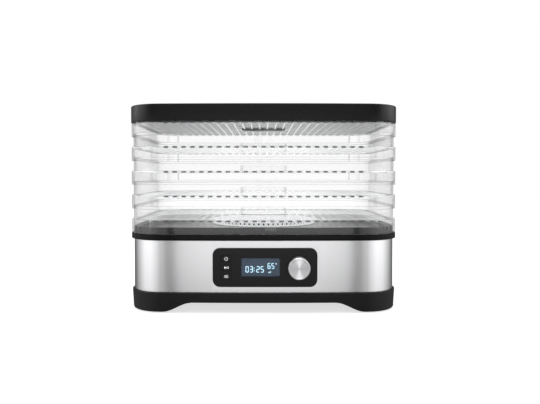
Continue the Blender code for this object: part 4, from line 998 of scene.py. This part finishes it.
class DEHYDRATOR_OT_vent_cap(Operator):
    """Light grey air cap: a ring of upright bars under a spoked top"""

    bl_idname = "dehydrator.vent_cap"
    bl_label = "Vent cap"

    def execute(self, context):
        base = context.scene.dehydrator_base
        outer = (VENT_HIGH.x - VENT_LOW.x) / 2
        low, top = VENT_LOW.z, VENT_HIGH.z
        inner = (DUCT_HIGH.x - DUCT_LOW.x) / 2 - 0.0025
        plate, foot, hub, ring = 0.0018, 0.0011, 0.021, 0.060
        under, brim = top - plate, top - 0.0002
        sill = [(inner, low), (outer, low), (outer, low + foot), (inner, low + foot)]
        rim = [(ring, under), (outer, under), (outer, top), (ring, top)]
        boss = [(0, under), (hub, under), (hub, top), (0, top)]
        middle_ring = [(0.040, under), (0.042, under), (0.042, brim), (0.040, brim)]
        parts = [
            turned(sill, [(0.0003, (1, 2))], True, 96),
            turned(rim, [(0.0007, (2,))], True, 96),
            turned(boss, [(0.0005, (2,))], steps=64),
            turned(middle_ring, (), True, 96),
        ]
        for index in range(base.vent_bars):
            size = (0.0018, 0.0040, top - low - plate - foot + 0.0006)
            middle = (top - plate + low + foot) / 2
            place = Matrix.Rotation(math.tau * index / base.vent_bars, 4, "Z") @ Matrix.Translation(
                (outer - 0.0010, 0, middle)
            )
            parts.append(bar(size, 0.0003, place))
        for index in range(base.vent_spokes):
            size = (ring - hub + 0.002, 0.0022, plate - 0.0003)
            place = Matrix.Rotation(math.tau * index / base.vent_spokes, 4, "Z") @ Matrix.Translation(
                ((ring + hub) / 2, 0, top - plate / 2)
            )
            parts.append(bar(size, 0.0003, place))
        bm = merged(parts)
        bmesh.ops.translate(bm, verts=bm.verts[:], vec=(0, CENTRE_Y, 0))
        piece = plain_object("air_cap", bm)
        finish_piece(piece, "base", ["light grey plastic"], ["vent_cap"])
        return {"FINISHED"}


# ---------------------------------------------------------------- trays and lid
def lattice(plan, sizes):
    """The floor's lattice with its top at z = 0: deep ribs front to back, and shallower bars across."""
    columns = math.ceil((plan.width - 2 * sizes.border) / sizes.rib_pitch) + 1
    rows = math.ceil((plan.depth - 2 * sizes.border) / sizes.bar_pitch) + 1
    bm = bmesh.new()
    bmesh.ops.create_grid(bm, x_segments=2 * columns - 1, y_segments=2 * rows - 1, size=0.5)
    lines_x = {value: index for index, value in enumerate(sorted({round(v.co.x, 5) for v in bm.verts}))}
    lines_y = {value: index for index, value in enumerate(sorted({round(v.co.y, 5) for v in bm.verts}))}
    for vertex in bm.verts:
        vertex.index = lines_x[round(vertex.co.x, 5)] + 10000 * lines_y[round(vertex.co.y, 5)]
    ribs, openings = [], []
    for face in bm.faces:
        column = min(v.index % 10000 for v in face.verts)
        row = min(v.index // 10000 for v in face.verts)
        if column % 2 and row % 2:
            openings.append(face)
        elif column % 2 == 0:
            ribs.append(face)
    for vertex in bm.verts:
        for axis, line, count, pitch, width in (
            (0, vertex.index % 10000, columns, sizes.rib_pitch, sizes.rib_width),
            (1, vertex.index // 10000, rows, sizes.bar_pitch, sizes.bar_width),
        ):
            middle = (line // 2 - (count - 1) / 2) * pitch
            vertex.co[axis] = middle + (width / 2 if line % 2 else -width / 2)
    bmesh.ops.delete(bm, geom=openings, context="FACES")
    made = bmesh.ops.extrude_face_region(bm, geom=bm.faces[:], use_keep_orig=True)["geom"]
    bmesh.ops.translate(bm, verts=of_type(made, bmesh.types.BMVert), vec=(0, 0, -sizes.bar_depth))
    bmesh.ops.recalc_face_normals(bm, faces=bm.faces[:])
    half = sizes.rib_width / 2 + 1e-5
    offset = (columns - 1) / 2 * sizes.rib_pitch
    under = []
    for face in bm.faces:
        centre = face.calc_center_median()
        from_rib = (centre.x + offset + sizes.rib_pitch / 2) % sizes.rib_pitch - sizes.rib_pitch / 2
        if face.normal.z < -0.5 and abs(from_rib) < half:
            under.append(face)
    made = bmesh.ops.extrude_face_region(bm, geom=under)["geom"]
    bmesh.ops.translate(
        bm, verts=of_type(made, bmesh.types.BMVert), vec=(0, 0, sizes.bar_depth - sizes.rib_depth)
    )
    bmesh.ops.translate(bm, verts=bm.verts[:], vec=(0, CENTRE_Y, 0))
    return bm


def tray_shell(plan, sizes):
    """Skirt, ledge, neck and floor border in one section, with the floor's top at z = 0."""
    neck_inner = sizes.neck_inset + sizes.wall
    section = [
        (0, -sizes.skirt),
        (0, 0),
        (sizes.neck_inset, 0),
        (sizes.neck_inset, sizes.neck),
        (neck_inner, sizes.neck),
        (neck_inner, 0),
        (sizes.border, 0),
        (sizes.border, -sizes.floor),
        (sizes.wall, -sizes.floor),
        (sizes.wall, -sizes.skirt),
    ]
    rounds = [(0.0006, (0, 9)), (0.0009, (1,)), (0.0006, (2, 3, 4)), (0.0005, (5, 8))]
    return sweep(plan, section, rounds, bow_steps=8, corner_steps=14)


def tray_model(plan, sizes):
    """The tray's lattice floor, trimmed inside its border and opened for the middle collar, with its top at z
    = 0.
    """
    model = plain_object("tray_model", lattice(plan, sizes))
    inside = [(sizes.border - 0.0004, 0.004), (sizes.border - 0.0004, -0.008)]
    combine(model, sweep(plan, inside, closed=False, bow_steps=4, corner_steps=8), "INTERSECT")
    wide, deep, wall = sizes.collar_width, sizes.collar_depth, sizes.collar_wall
    well = slab(wide - wall, deep - wall, sizes.collar_height - wall / 2, -0.01, 0.02, 0, CENTRE_Y)
    combine(model, well)
    return model


class DEHYDRATOR_OT_trays(Operator):
    """Five clear stacking trays: skirt, neck, lattice floor, middle collar, corner ribs and keys"""

    bl_idname = "dehydrator.trays"
    bl_label = "Trays"

    def execute(self, context):
        plan, sizes = context.scene.dehydrator_plan, context.scene.dehydrator_tray
        model = tray_model(plan, sizes)
        floor_mesh = model.data
        wide, deep, wall = sizes.collar_width, sizes.collar_depth, sizes.collar_wall
        collar = rounded_sheet(wide, deep, sizes.collar_height, 6)
        faces = collar.faces[:]
        inner = bmesh.ops.inset_individual(collar, faces=faces, thickness=wall, use_even_offset=True)
        middle = [face for face in collar.faces if face not in inner["faces"]]
        bmesh.ops.delete(collar, geom=middle, context="FACES_ONLY")
        thicken(collar, -sizes.floor, sizes.collar_height, 0.0004)
        bmesh.ops.translate(collar, verts=collar.verts[:], vec=(0, CENTRE_Y, 0))
        shell = tray_shell(plan, sizes)
        ribs = rib_bars(plan, sizes, RIB_FAN, -sizes.floor / 2, -RIB_DROP)
        keys = []
        for side in (-1, 1):
            face = wall_y(plan, 0.0167, sizes.wall)
            size = (0.0152, 0.0014, 0.0122)
            place = Matrix.Translation((-side * 0.0091, side * (face - 0.0002) + CENTRE_Y, -0.0071))
            keys.append(bar(size, 0.0003, place))
            face = wall_y(plan, 0.0100, sizes.neck_inset + sizes.wall)
            size = (0.0070, 0.0018, sizes.neck - 0.0006)
            spot = (-side * 0.0065, side * (face - 0.0004) + CENTRE_Y, sizes.neck / 2 - 0.0002)
            keys.append(bar(size, 0.0003, Matrix.Translation(spot)))
        # Small webs under the floor's border. The front row takes the near-black finish: painted shade, dark
        # pieces for the dark dashes seen there.
        webs = []
        count = math.floor((plan.width / 2 - plan.corner) * 2 / sizes.web_pitch / 2)
        for side in (-1, 1):
            for index in range(-count, count + 1):
                x = index * sizes.web_pitch
                y = side * (wall_y(plan, x, sizes.neck_inset) - sizes.web_inset)
                place = Matrix.Translation((x, y + CENTRE_Y, -sizes.web_height / 2))
                webs.append(bar((sizes.web_width, 0.0012, sizes.web_height), 0.0002, place))
        painted_web_first = sum(len(part.faces) for part in (shell, collar, ribs, *keys))
        whole = merged([shell, collar, ribs, *keys, *webs])
        count_before = len(whole.faces)
        whole.from_mesh(floor_mesh)
        whole.faces.ensure_lookup_table()
        rim_low, rim_high = -sizes.skirt + 0.0008, sizes.neck - 0.0008
        front = plan.depth / 2 - sizes.border - sizes.bar_pitch
        for index, face in enumerate(whole.faces):
            centre = face.calc_center_median()
            if index >= count_before:
                face.material_index = 2
                along = abs(centre.y - CENTRE_Y)
                if along > front and abs(face.normal.y) > 0.7:
                    face.material_index = 1
            elif index >= painted_web_first:
                # Front webs get the painted shade finish, back webs the edge finish.
                face.material_index = 3 if centre.y < CENTRE_Y else 1
            elif centre.z < rim_low or centre.z > rim_high:
                face.material_index = 1
            else:
                face.material_index = 0
        bpy.data.objects.remove(model)
        finished = bpy.data.meshes.new("tray")
        whole.to_mesh(finished)
        whole.free()
        for number in range(1, TRAY_COUNT + 1):
            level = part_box(f"tray_{number}")[0].z + sizes.skirt
            mesh = finished.copy()
            mesh.transform(Matrix.Translation((0, 0, level)))
            piece = bpy.data.objects.new(f"clear_tray_{number}", mesh)
            context.scene.collection.objects.link(piece)
            looks = ["clear plastic", "clear plastic edge", "clear plastic lattice", "web plastic with painted shade"]
            finish_piece(piece, f"tray_{number}", looks, [f"tray_{number}"])
        bpy.data.meshes.remove(finished)
        return {"FINISHED"}


class DEHYDRATOR_OT_lid(Operator):
    """Black lid: an upright rim, a crowned top and a row of vent slots"""

    bl_idname = "dehydrator.lid"
    bl_label = "Lid"

    def execute(self, context):
        plan, sizes = context.scene.dehydrator_plan, context.scene.dehydrator_lid
        outer, inner = -sizes.overhang, sizes.wall - sizes.overhang
        edge = LID_HIGH.z - sizes.crown
        section = [
            (0.040, LID_HIGH.z - sizes.top),
            (0.036, LID_HIGH.z - sizes.top - 0.0003),
            (0.012, edge - sizes.top + sizes.crown * 0.30),
            (inner, edge - sizes.top),
            (inner, LID_LOW.z),
            (outer, LID_LOW.z),
            (outer, edge),
            (0.0014, edge + 0.0004),
            (0.012, edge + sizes.crown * 0.42),
            (0.026, edge + sizes.crown * 0.86),
            (0.040, LID_HIGH.z),
        ]
        rounds = [(0.0005, (4,)), (0.0007, (5,)), (0.0011, (6,)), (0.004, (8, 9))]
        piece = plain_object("lid_cap", sweep(plan, section, rounds, closed=False, corner_steps=20))
        slots = []
        for index in range(sizes.slots):
            x = (index - (sizes.slots - 1) / 2) * sizes.slot_pitch
            slots.append(
                slab(
                    sizes.slot_width,
                    sizes.slot_length,
                    sizes.slot_width / 2 - 0.00005,
                    edge - 0.006,
                    LID_HIGH.z + 0.004,
                    x,
                    CENTRE_Y,
                    segments=6,
                )
            )
        combine(piece, merged(slots))
        finish_piece(piece, "lid", ["satin black plastic", "polished black plastic"], ["lid"])
        for face in piece.data.polygons:
            face.material_index = 1 if face.normal.z < -0.5 and face.center.z > edge - 0.004 else 0
        return {"FINISHED"}


# ---------------------------------------------------------------- controls
def seven_segment(text, height, pitch):
    """Digits made of bars, lying flat, with the first one's lower left corner at the origin."""
    wide, thick = height * 0.52, height * 0.13
    reach = height / 2 - thick / 2
    places = {
        "a": (wide / 2, height - thick / 2, 0),
        "g": (wide / 2, height / 2, 0),
        "d": (wide / 2, thick / 2, 0),
        "f": (thick / 2, height * 0.75 - thick / 4, 1),
        "b": (wide - thick / 2, height * 0.75 - thick / 4, 1),
        "e": (thick / 2, height * 0.25 + thick / 4, 1),
        "c": (wide - thick / 2, height * 0.25 + thick / 4, 1),
    }
    parts, x = [], 0.0
    for mark in text:
        if mark == ":":
            for share in (0.30, 0.70):
                dot = slab(thick, thick, thick * 0.25, 0, 0.0001, x + thick / 2, height * share, segments=2)
                parts.append(dot)
            x += thick + pitch * 0.35
            continue
        for segment in SEGMENTS[mark]:
            across, up, upright = places[segment]
            size = (thick, reach * 0.94) if upright else (wide - thick * 1.15, thick)
            parts.append(slab(*size, thick * 0.3, 0, 0.0001, x + across, up, segments=2))
        x += pitch
    return parts


def ring_arc(radius, stroke, start, angle, steps=24):
    """A flat curved stroke, lying at the origin."""
    bm = bmesh.new()
    bmesh.ops.create_grid(bm, x_segments=1, y_segments=1, size=0.5)
    bmesh.ops.scale(bm, vec=(stroke, 1e-4, 1), verts=bm.verts[:])
    bmesh.ops.rotate(bm, verts=bm.verts[:], cent=(0, 0, 0), matrix=Matrix.Rotation(math.pi / 2, 3, "X"))
    bmesh.ops.translate(bm, verts=bm.verts[:], vec=(radius, 0, 5e-5))
    bmesh.ops.rotate(bm, verts=bm.verts[:], cent=(0, 0, 0), matrix=Matrix.Rotation(start, 3, "Z"))
    bmesh.ops.spin(
        bm,
        geom=bm.verts[:] + bm.edges[:] + bm.faces[:],
        cent=(0, 0, 0),
        axis=(0, 0, 1),
        angle=angle,
        steps=steps,
    )
    bmesh.ops.recalc_face_normals(bm, faces=bm.faces[:])
    return bm


def triangle(size):
    bm = bmesh.new()
    bmesh.ops.create_circle(bm, cap_ends=True, segments=3, radius=size)
    bmesh.ops.rotate(bm, verts=bm.verts[:], cent=(0, 0, 0), matrix=Matrix.Rotation(-math.pi / 2, 3, "Z"))
    return thicken(bm, 0, 1e-4)


def key_symbol(name, stroke):
    """The symbol on one key, lying flat about the origin."""
    if name == "button_power":
        ring = ring_arc(0.00175, stroke, math.radians(125), math.radians(290))
        return merged([ring, slab(stroke, 0.0021, stroke * 0.4, 0, 1e-4, 0, 0.0013, segments=2)])
    if name == "button_play_pause":
        start = triangle(0.0016)
        bmesh.ops.translate(start, verts=start.verts[:], vec=(-0.0012, 0, 0))
        bars = [slab(stroke * 1.2, 0.0026, stroke * 0.3, 0, 1e-4, x, 0, segments=2) for x in (0.0010, 0.0023)]
        return merged([start, *bars])
    bars = []
    for step, shift in ((-1, 0.0011), (0, -0.0009), (1, 0.0004)):
        y = step * 0.0012
        bars.append(slab(0.0044, stroke * 0.7, stroke * 0.2, 0, 1e-4, 0, y, segments=2))
        bars.append(slab(stroke * 1.1, stroke * 1.7, stroke * 0.3, 0, 1.4e-4, shift, y, segments=2))
    return merged(bars)


class DEHYDRATOR_OT_control_panel(Operator):
    """Black control panel with openings for the keys, the window and the knob"""

    bl_idname = "dehydrator.control_panel"
    bl_label = "Control panel"

    def execute(self, context):
        sizes = context.scene.dehydrator_panel
        flange = sizes.flange
        width = FASCIA_HIGH.x - FASCIA_LOW.x - 2 * flange
        height = FASCIA_HIGH.z - FASCIA_LOW.z - 2 * flange
        middle = (FASCIA_LOW + FASCIA_HIGH) / 2
        front, back = CENTRE_Y - FASCIA_LOW.y, CENTRE_Y - FASCIA_HIGH.y
        bm = thicken(rounded_sheet(width, height, sizes.corner, 12), back, front, sizes.soft)
        rim = slab(width + 2 * flange, height + 2 * flange, sizes.corner + flange, back, back + 0.0015)
        piece = plain_object("panel_face", stand(bm, middle.x, middle.z))
        combine(piece, stand(rim, middle.x, middle.z), "UNION")
        lens = (LENS_LOW + LENS_HIGH) / 2
        width, height = LENS_HIGH.x - LENS_LOW.x + 2 * GAP, LENS_HIGH.z - LENS_LOW.z + 2 * GAP
        window = slab(width, height, 0.0015, back - 0.01, front + 0.01)
        combine(piece, stand(window, lens.x, lens.z))
        for name in BUTTONS:
            low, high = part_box(name)
            key = (low + high) / 2
            hole = slab(KEY_HOLE_WIDTH, KEY_HOLE_HEIGHT, KEY_HOLE_CORNER, back - 0.01, front + 0.01)
            combine(piece, stand(hole, key.x, key.z))
        knob = (KNOB_LOW + KNOB_HIGH) / 2
        radius = (KNOB_HIGH.x - KNOB_LOW.x) / 2 + 0.0006
        outline = [(0, back - 0.01), (radius, back - 0.01), (radius, front + 0.01), (0, front + 0.01)]
        well = turned(outline, steps=64)
        combine(piece, stand(well, knob.x, knob.z))
        finish_piece(piece, "base", ["panel black"], ["control_fascia"])
        return {"FINISHED"}


class DEHYDRATOR_OT_keys(Operator):
    """Three keys with their symbols"""

    bl_idname = "dehydrator.keys"
    bl_label = "Keys"

    def execute(self, context):
        sizes = context.scene.dehydrator_panel
        for name in BUTTONS:
            low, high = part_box(name)
            middle = (low + high) / 2
            front, back = CENTRE_Y - low.y, CENTRE_Y - high.y
            face = thicken(rounded_sheet(0.0140, 0.0080, 0.0015, 5), back, front, 0.0003)
            rim = slab(high.x - low.x, high.z - low.z, 0.0015, back, back + 0.001)
            piece = plain_object(f"{name}_key", stand(face, middle.x, middle.z))
            combine(piece, stand(rim, middle.x, middle.z), "UNION")
            finish_piece(piece, name, ["key black"], [name])
            symbol = key_symbol(name, sizes.stroke)
            bmesh.ops.scale(symbol, vec=(1.15, 1.15, 1.0), verts=symbol.verts[:])
            bmesh.ops.translate(symbol, verts=symbol.verts[:], vec=(0, 0, front - 0.00002))
            mark = plain_object(f"{name}_symbol", stand(symbol, middle.x, middle.z))
            finish_piece(mark, name, ["key legend"])
        return {"FINISHED"}


class DEHYDRATOR_OT_display(Operator):
    """Display: its module, lit digits and window"""

    bl_idname = "dehydrator.display"
    bl_label = "Display"

    def execute(self, context):
        sizes = context.scene.dehydrator_panel
        lens = (LENS_LOW + LENS_HIGH) / 2
        width, height = LENS_HIGH.x - LENS_LOW.x, LENS_HIGH.z - LENS_LOW.z
        front, back = CENTRE_Y - LENS_LOW.y, CENTRE_Y - LENS_HIGH.y
        glass = thicken(rounded_sheet(width, height, 0.0012, 5), back, front, 0.0002)
        piece = plain_object("display_glass", stand(glass, lens.x, lens.z))
        finish_piece(piece, "base", ["display window"], ["display_lens"])
        module = (MODULE_LOW + MODULE_HIGH) / 2
        module_front, module_back = CENTRE_Y - MODULE_LOW.y, CENTRE_Y - MODULE_HIGH.y
        wide, high = MODULE_HIGH.x - MODULE_LOW.x, MODULE_HIGH.z - MODULE_LOW.z
        block = slab(wide, high, 0.001, module_back, module_front, soft=0.0003)
        piece = plain_object("display_block", stand(block, module.x, module.z))
        face = slab(width - 0.0006, height - 0.0006, 0.001, module_front - 0.0005, back - 0.0003, soft=0.0002)
        combine(piece, stand(face, lens.x, lens.z), "UNION")
        finish_piece(piece, "base", ["display screen"], ["display_module"])
        level = back - 0.0003
        digit = sizes.digit
        parts = seven_segment("03:25", digit, 0.0053)
        for part in parts:
            bmesh.ops.translate(part, verts=part.verts[:], vec=(-0.0188, -0.0064, level))
        for part in seven_segment("65", sizes.small_digit, 0.0047):
            bmesh.ops.translate(part, verts=part.verts[:], vec=(0.0088, -0.0018, level))
            parts.append(part)
        ring = ring_arc(0.0008, 0.0004, 0, math.tau, 16)
        bmesh.ops.remove_doubles(ring, verts=ring.verts[:], dist=1e-6)
        bmesh.ops.translate(ring, verts=ring.verts[:], vec=(0.0194, 0.0045, level))
        parts.append(ring)
        for index in range(3):
            tall = 0.0012 + 0.0006 * index
            x, y = 0.0100 + 0.0013 * index, -0.0070 + tall / 2
            parts.append(slab(0.0008, tall, 0.0001, level, level + 1e-4, x, y, segments=2))
        digits = plain_object("display_digits", stand(merged(parts), lens.x, lens.z))
        finish_piece(digits, "base", ["display digits"])
        return {"FINISHED"}


class DEHYDRATOR_OT_knob(Operator):
    """Spun aluminium knob with a chamfered rim"""

    bl_idname = "dehydrator.knob"
    bl_label = "Knob"

    def execute(self, context):
        knob = (KNOB_LOW + KNOB_HIGH) / 2
        radius = (KNOB_HIGH.x - KNOB_LOW.x) / 2
        front, back = CENTRE_Y - KNOB_LOW.y, CENTRE_Y - KNOB_HIGH.y
        bore = (SHAFT_HIGH.x - SHAFT_LOW.x) / 2 + GAP
        shaft_front = CENTRE_Y - SHAFT_LOW.y + GAP
        profile = [
            (0, front - 0.0004),
            (radius * 0.80, front - 0.0004),
            (radius * 0.84, front),
            (radius * 0.93, front),
            (radius, front - 0.0011),
            (radius, back),
            (bore, back),
            (bore, shaft_front),
            (0, shaft_front),
        ]
        rounds = [(0.0003, (2, 3)), (0.0004, (4,)), (0.0003, (5,))]
        piece = plain_object("knob_turned", stand(turned(profile, rounds, steps=96), knob.x, knob.z))
        finish_piece(piece, "knob", ["spun aluminium"], ["knob"])
        return {"FINISHED"}


class DEHYDRATOR_OT_inner_parts(Operator):
    """Finishes for the parts that keep the frame's own shape"""

    bl_idname = "dehydrator.inner_parts"
    bl_label = "Inner parts"

    def execute(self, context):
        finishes = {
            "bottom_plate": "satin black plastic",
            "air_duct": "satin black plastic",
            "motor_bracket": "zinc steel",
            "motor_housing": "zinc steel",
            "motor_bearing_lower": "zinc steel",
            "motor_bearing_upper": "zinc steel",
            "motor_stator": "copper winding",
            "motor_rotor": "zinc steel",
            "fan_impeller": "satin black plastic",
            "heater_frame": "mica board",
            "heater_coil": "resistance wire",
            "thermal_cutout": "zinc steel",
            "thermal_fuse": "zinc steel",
            "temperature_sensor": "zinc steel",
            "display_board": "circuit board",
            "encoder_body": "zinc steel",
            "encoder_shaft": "zinc steel",
            "power_board": "circuit board",
            "transformer": "copper winding",
            "relay": "relay blue",
            "capacitor": "black lead",
            "cord_gland": "black rubber",
            "mains_lead": "black lead",
            "heater_lead": "red lead",
            "ribbon_cable": "ribbon grey",
        }
        for name in nodes:
            if name.startswith("rubber_foot"):
                finishes[name] = "black rubber"
            if name.startswith("bottom_screw"):
                finishes[name] = "zinc steel"
        for name, look in finishes.items():
            for slot in nodes[name].material_slots:
                slot.material = bpy.data.materials[look]
        return {"FINISHED"}


# ---------------------------------------------------------------- stage
def colour_stops(ramp, stops):
    """Set a ramp's greys from (degrees, value) pairs that start at 0."""
    elements = ramp.color_ramp.elements
    elements.remove(elements[1])
    elements[0].position = 0.0
    elements[0].color = (stops[0][1],) * 3 + (1,)
    for degrees, value in stops[1:]:
        stop = elements.new(degrees / 180)
        stop.color = (value, value, value, 1)


def reflection_wall():
    """A round wall that only shines in reflections.

    Its lower part has a pale front, narrow dark flags and bright sides, its upper part one bright flag
    on each side.
    """
    low, high, radius = -0.8, 1.0, 0.42
    bm = bmesh.new()
    bmesh.ops.create_cone(
        bm, cap_ends=False, segments=96, radius1=radius, radius2=radius, depth=high - low
    )
    bmesh.ops.translate(bm, verts=bm.verts[:], vec=(0, CENTRE_Y, (high + low) / 2))
    bmesh.ops.reverse_faces(bm, faces=bm.faces[:])
    wall = plain_object("reflection_wall", bm)
    made = bpy.data.materials.new("reflection wall")
    made.use_nodes = True
    tree = made.node_tree
    tree.nodes.remove(tree.nodes["Principled BSDF"])
    where = put(tree, "ShaderNodeTexCoord")
    split = put(tree, "ShaderNodeSeparateXYZ", {"Vector": where.outputs["Object"]})
    turn = maths(tree, "ARCTAN2", split.outputs["X"], maths(tree, "MULTIPLY", split.outputs["Y"], -1.0))
    share = maths(tree, "DIVIDE", maths(tree, "ABSOLUTE", turn), math.pi)
    ramp = put(tree, "ShaderNodeValToRGB", {"Fac": share})
    stops = (
        (0, 1.0),
        (16, 1.0),
        (20, 0.92),
        (24.6, 0.90),
        (25.4, 0.12),
        (26.8, 0.12),
        (27.8, 0.62),
        (36, 0.95),
        (50, 1.25),
        (66, 1.2),
        (86, 0.66),
        (104, 0.25),
        (125, 0.12),
        (155, 0.15),
        (168, 0.7),
    )
    colour_stops(ramp, stops)
    rise = maths(tree, "MULTIPLY_ADD", split.outputs["Z"], 2.0, 1.08)
    rise = maths(tree, "MINIMUM", maths(tree, "MAXIMUM", rise, 0.55), 1.5)
    high_ramp = put(tree, "ShaderNodeValToRGB", {"Fac": share})
    high_stops = (
        (0, 0.30),
        (24, 0.24),
        (40, 0.05),
        (50, 0.05),
        (62, 0.9),
        (84, 1.0),
        (96, 0.35),
        (112, 0.05),
    )
    colour_stops(high_ramp, high_stops)
    above = maths(tree, "MULTIPLY_ADD", split.outputs["Z"], 14.0, -2.9, clamp=True)
    flags = put(tree, "ShaderNodeVectorMath", {0: high_ramp.outputs["Color"]}, operation="SCALE")
    flags.inputs["Scale"].default_value = 3.2
    around = put(tree, "ShaderNodeVectorMath", {0: ramp.outputs["Color"]}, operation="SCALE")
    tree.links.new(rise, around.inputs["Scale"])
    shine = put(tree, "ShaderNodeMix", {0: above}, data_type="RGBA")
    tree.links.new(around.outputs[0], shine.inputs[6])
    tree.links.new(flags.outputs[0], shine.inputs[7])
    light = put(tree, "ShaderNodeEmission", {"Color": shine.outputs[2]})
    tree.links.new(light.outputs[0], tree.nodes["Material Output"].inputs["Surface"])
    wall.data.materials.append(made)
    wall.visible_camera = False
    wall.visible_diffuse = False
    wall.visible_transmission = False
    wall.visible_volume_scatter = False
    wall.visible_shadow = False


class DEHYDRATOR_OT_stage(Operator):
    """Pale floor, soft room light, overhead softbox and camera"""

    bl_idname = "dehydrator.stage"
    bl_label = "Stage"

    def execute(self, context):
        setup, plan = context.scene.dehydrator_studio, context.scene.dehydrator_plan
        bm = bmesh.new()
        bmesh.ops.create_grid(bm, x_segments=8, y_segments=8, size=4)
        floor = plain_object("studio_floor", bm)
        made, tree, shader, where = new_look("studio floor")
        grain = put(tree, "ShaderNodeTexNoise", {"Vector": where, "Scale": 6.0, "Detail": 3.0})
        tone = blend(tree, grain.outputs["Fac"], (0.35, 0.35, 0.35), (0.37, 0.37, 0.37))
        tree.links.new(tone, shader.inputs["Base Color"])
        shader.inputs["Emission Color"].default_value = (1, 1, 1, 1)
        shader.inputs["Emission Strength"].default_value = 0.68
        shader.inputs["Roughness"].default_value = 0.75
        shader.inputs["Specular IOR Level"].default_value = 0.0
        floor.data.materials.append(made)
        floor.visible_glossy = False
        reflection_wall()

        world = bpy.data.worlds.new("studio room")
        context.scene.world = world
        world.use_nodes = True
        tree = world.node_tree
        room = tree.nodes["Background"]
        room.inputs["Color"].default_value = (1, 1, 1, 1)
        room.inputs["Strength"].default_value = setup.room
        white = put(tree, "ShaderNodeBackground", {"Color": (1, 1, 1, 1), "Strength": 1.0})
        path = put(tree, "ShaderNodeLightPath")
        either = put(tree, "ShaderNodeMixShader", {"Fac": path.outputs["Is Camera Ray"]})
        tree.links.new(room.outputs[0], either.inputs[1])
        tree.links.new(white.outputs[0], either.inputs[2])
        tree.links.new(either.outputs[0], tree.nodes["World Output"].inputs["Surface"])

        lamp = bpy.data.lights.new("overhead softbox", "AREA")
        lamp.shape = "RECTANGLE"
        lamp.size, lamp.size_y = 1.6, 1.2
        lamp.energy = setup.top_light
        top = bpy.data.objects.new("overhead_softbox", lamp)
        top.location = (0, -0.15, 1.5)
        context.scene.collection.objects.link(top)

        optics = bpy.data.cameras.new("camera")
        optics.lens = setup.lens
        optics.sensor_width = 36
        optics.shift_x, optics.shift_y = setup.shift_x, setup.shift_y
        optics.clip_start = 0.01
        eye = bpy.data.objects.new("camera", optics)
        eye.location = (0, CENTRE_Y - plan.depth / 2 - setup.eye_distance, setup.eye_height)
        eye.rotation_euler = (math.pi / 2 - setup.pitch, 0, 0)
        context.scene.collection.objects.link(eye)
        context.scene.camera = eye
        context.scene.view_settings.view_transform = "Standard"
        context.scene.cycles.transparent_max_bounces = 160
        return {"FINISHED"}


STEPS = (
    DEHYDRATOR_OT_finishes,
    DEHYDRATOR_OT_foot_skirt,
    DEHYDRATOR_OT_steel_band,
    DEHYDRATOR_OT_bezel_ring,
    DEHYDRATOR_OT_top_deck,
    DEHYDRATOR_OT_vent_cap,
    DEHYDRATOR_OT_trays,
    DEHYDRATOR_OT_lid,
    DEHYDRATOR_OT_control_panel,
    DEHYDRATOR_OT_keys,
    DEHYDRATOR_OT_display,
    DEHYDRATOR_OT_knob,
    DEHYDRATOR_OT_inner_parts,
    DEHYDRATOR_OT_stage,
)


class DEHYDRATOR_PT_pieces(Panel):
    """Lists the dehydrator's pieces in the order in which they are made"""

    bl_idname = "DEHYDRATOR_PT_pieces"
    bl_label = "Food dehydrator"
    bl_space_type = "VIEW_3D"
    bl_region_type = "UI"
    bl_category = "Dehydrator"

    def draw(self, context):
        for step in STEPS:
            self.layout.operator(step.bl_idname)
        for attribute in GROUPS:
            group = getattr(context.scene, attribute)
            box = self.layout.box()
            for name in group.__annotations__:
                box.prop(group, name)


GROUPS = {
    "dehydrator_plan": DehydratorPlan,
    "dehydrator_base": DehydratorBase,
    "dehydrator_tray": DehydratorTray,
    "dehydrator_lid": DehydratorLid,
    "dehydrator_panel": DehydratorPanelSizes,
    "dehydrator_colours": DehydratorColours,
    "dehydrator_studio": DehydratorStudio,
}


def register():
    for group in GROUPS.values():
        bpy.utils.register_class(group)
    for step in STEPS:
        bpy.utils.register_class(step)
    bpy.utils.register_class(DEHYDRATOR_PT_pieces)
    for attribute, group in GROUPS.items():
        setattr(bpy.types.Scene, attribute, PointerProperty(type=group))


def unregister():
    for attribute in GROUPS:
        delattr(bpy.types.Scene, attribute)
    bpy.utils.unregister_class(DEHYDRATOR_PT_pieces)
    for step in reversed(STEPS):
        bpy.utils.unregister_class(step)
    for group in reversed(GROUPS.values()):
        bpy.utils.unregister_class(group)


def main():
    register()
    for step in STEPS:
        kind, name = step.bl_idname.split(".")
        if getattr(getattr(bpy.ops, kind), name)() != {"FINISHED"}:
            raise RuntimeError(f"{step.bl_label} couldn't be made")


if __name__ == "__main__":
    main()
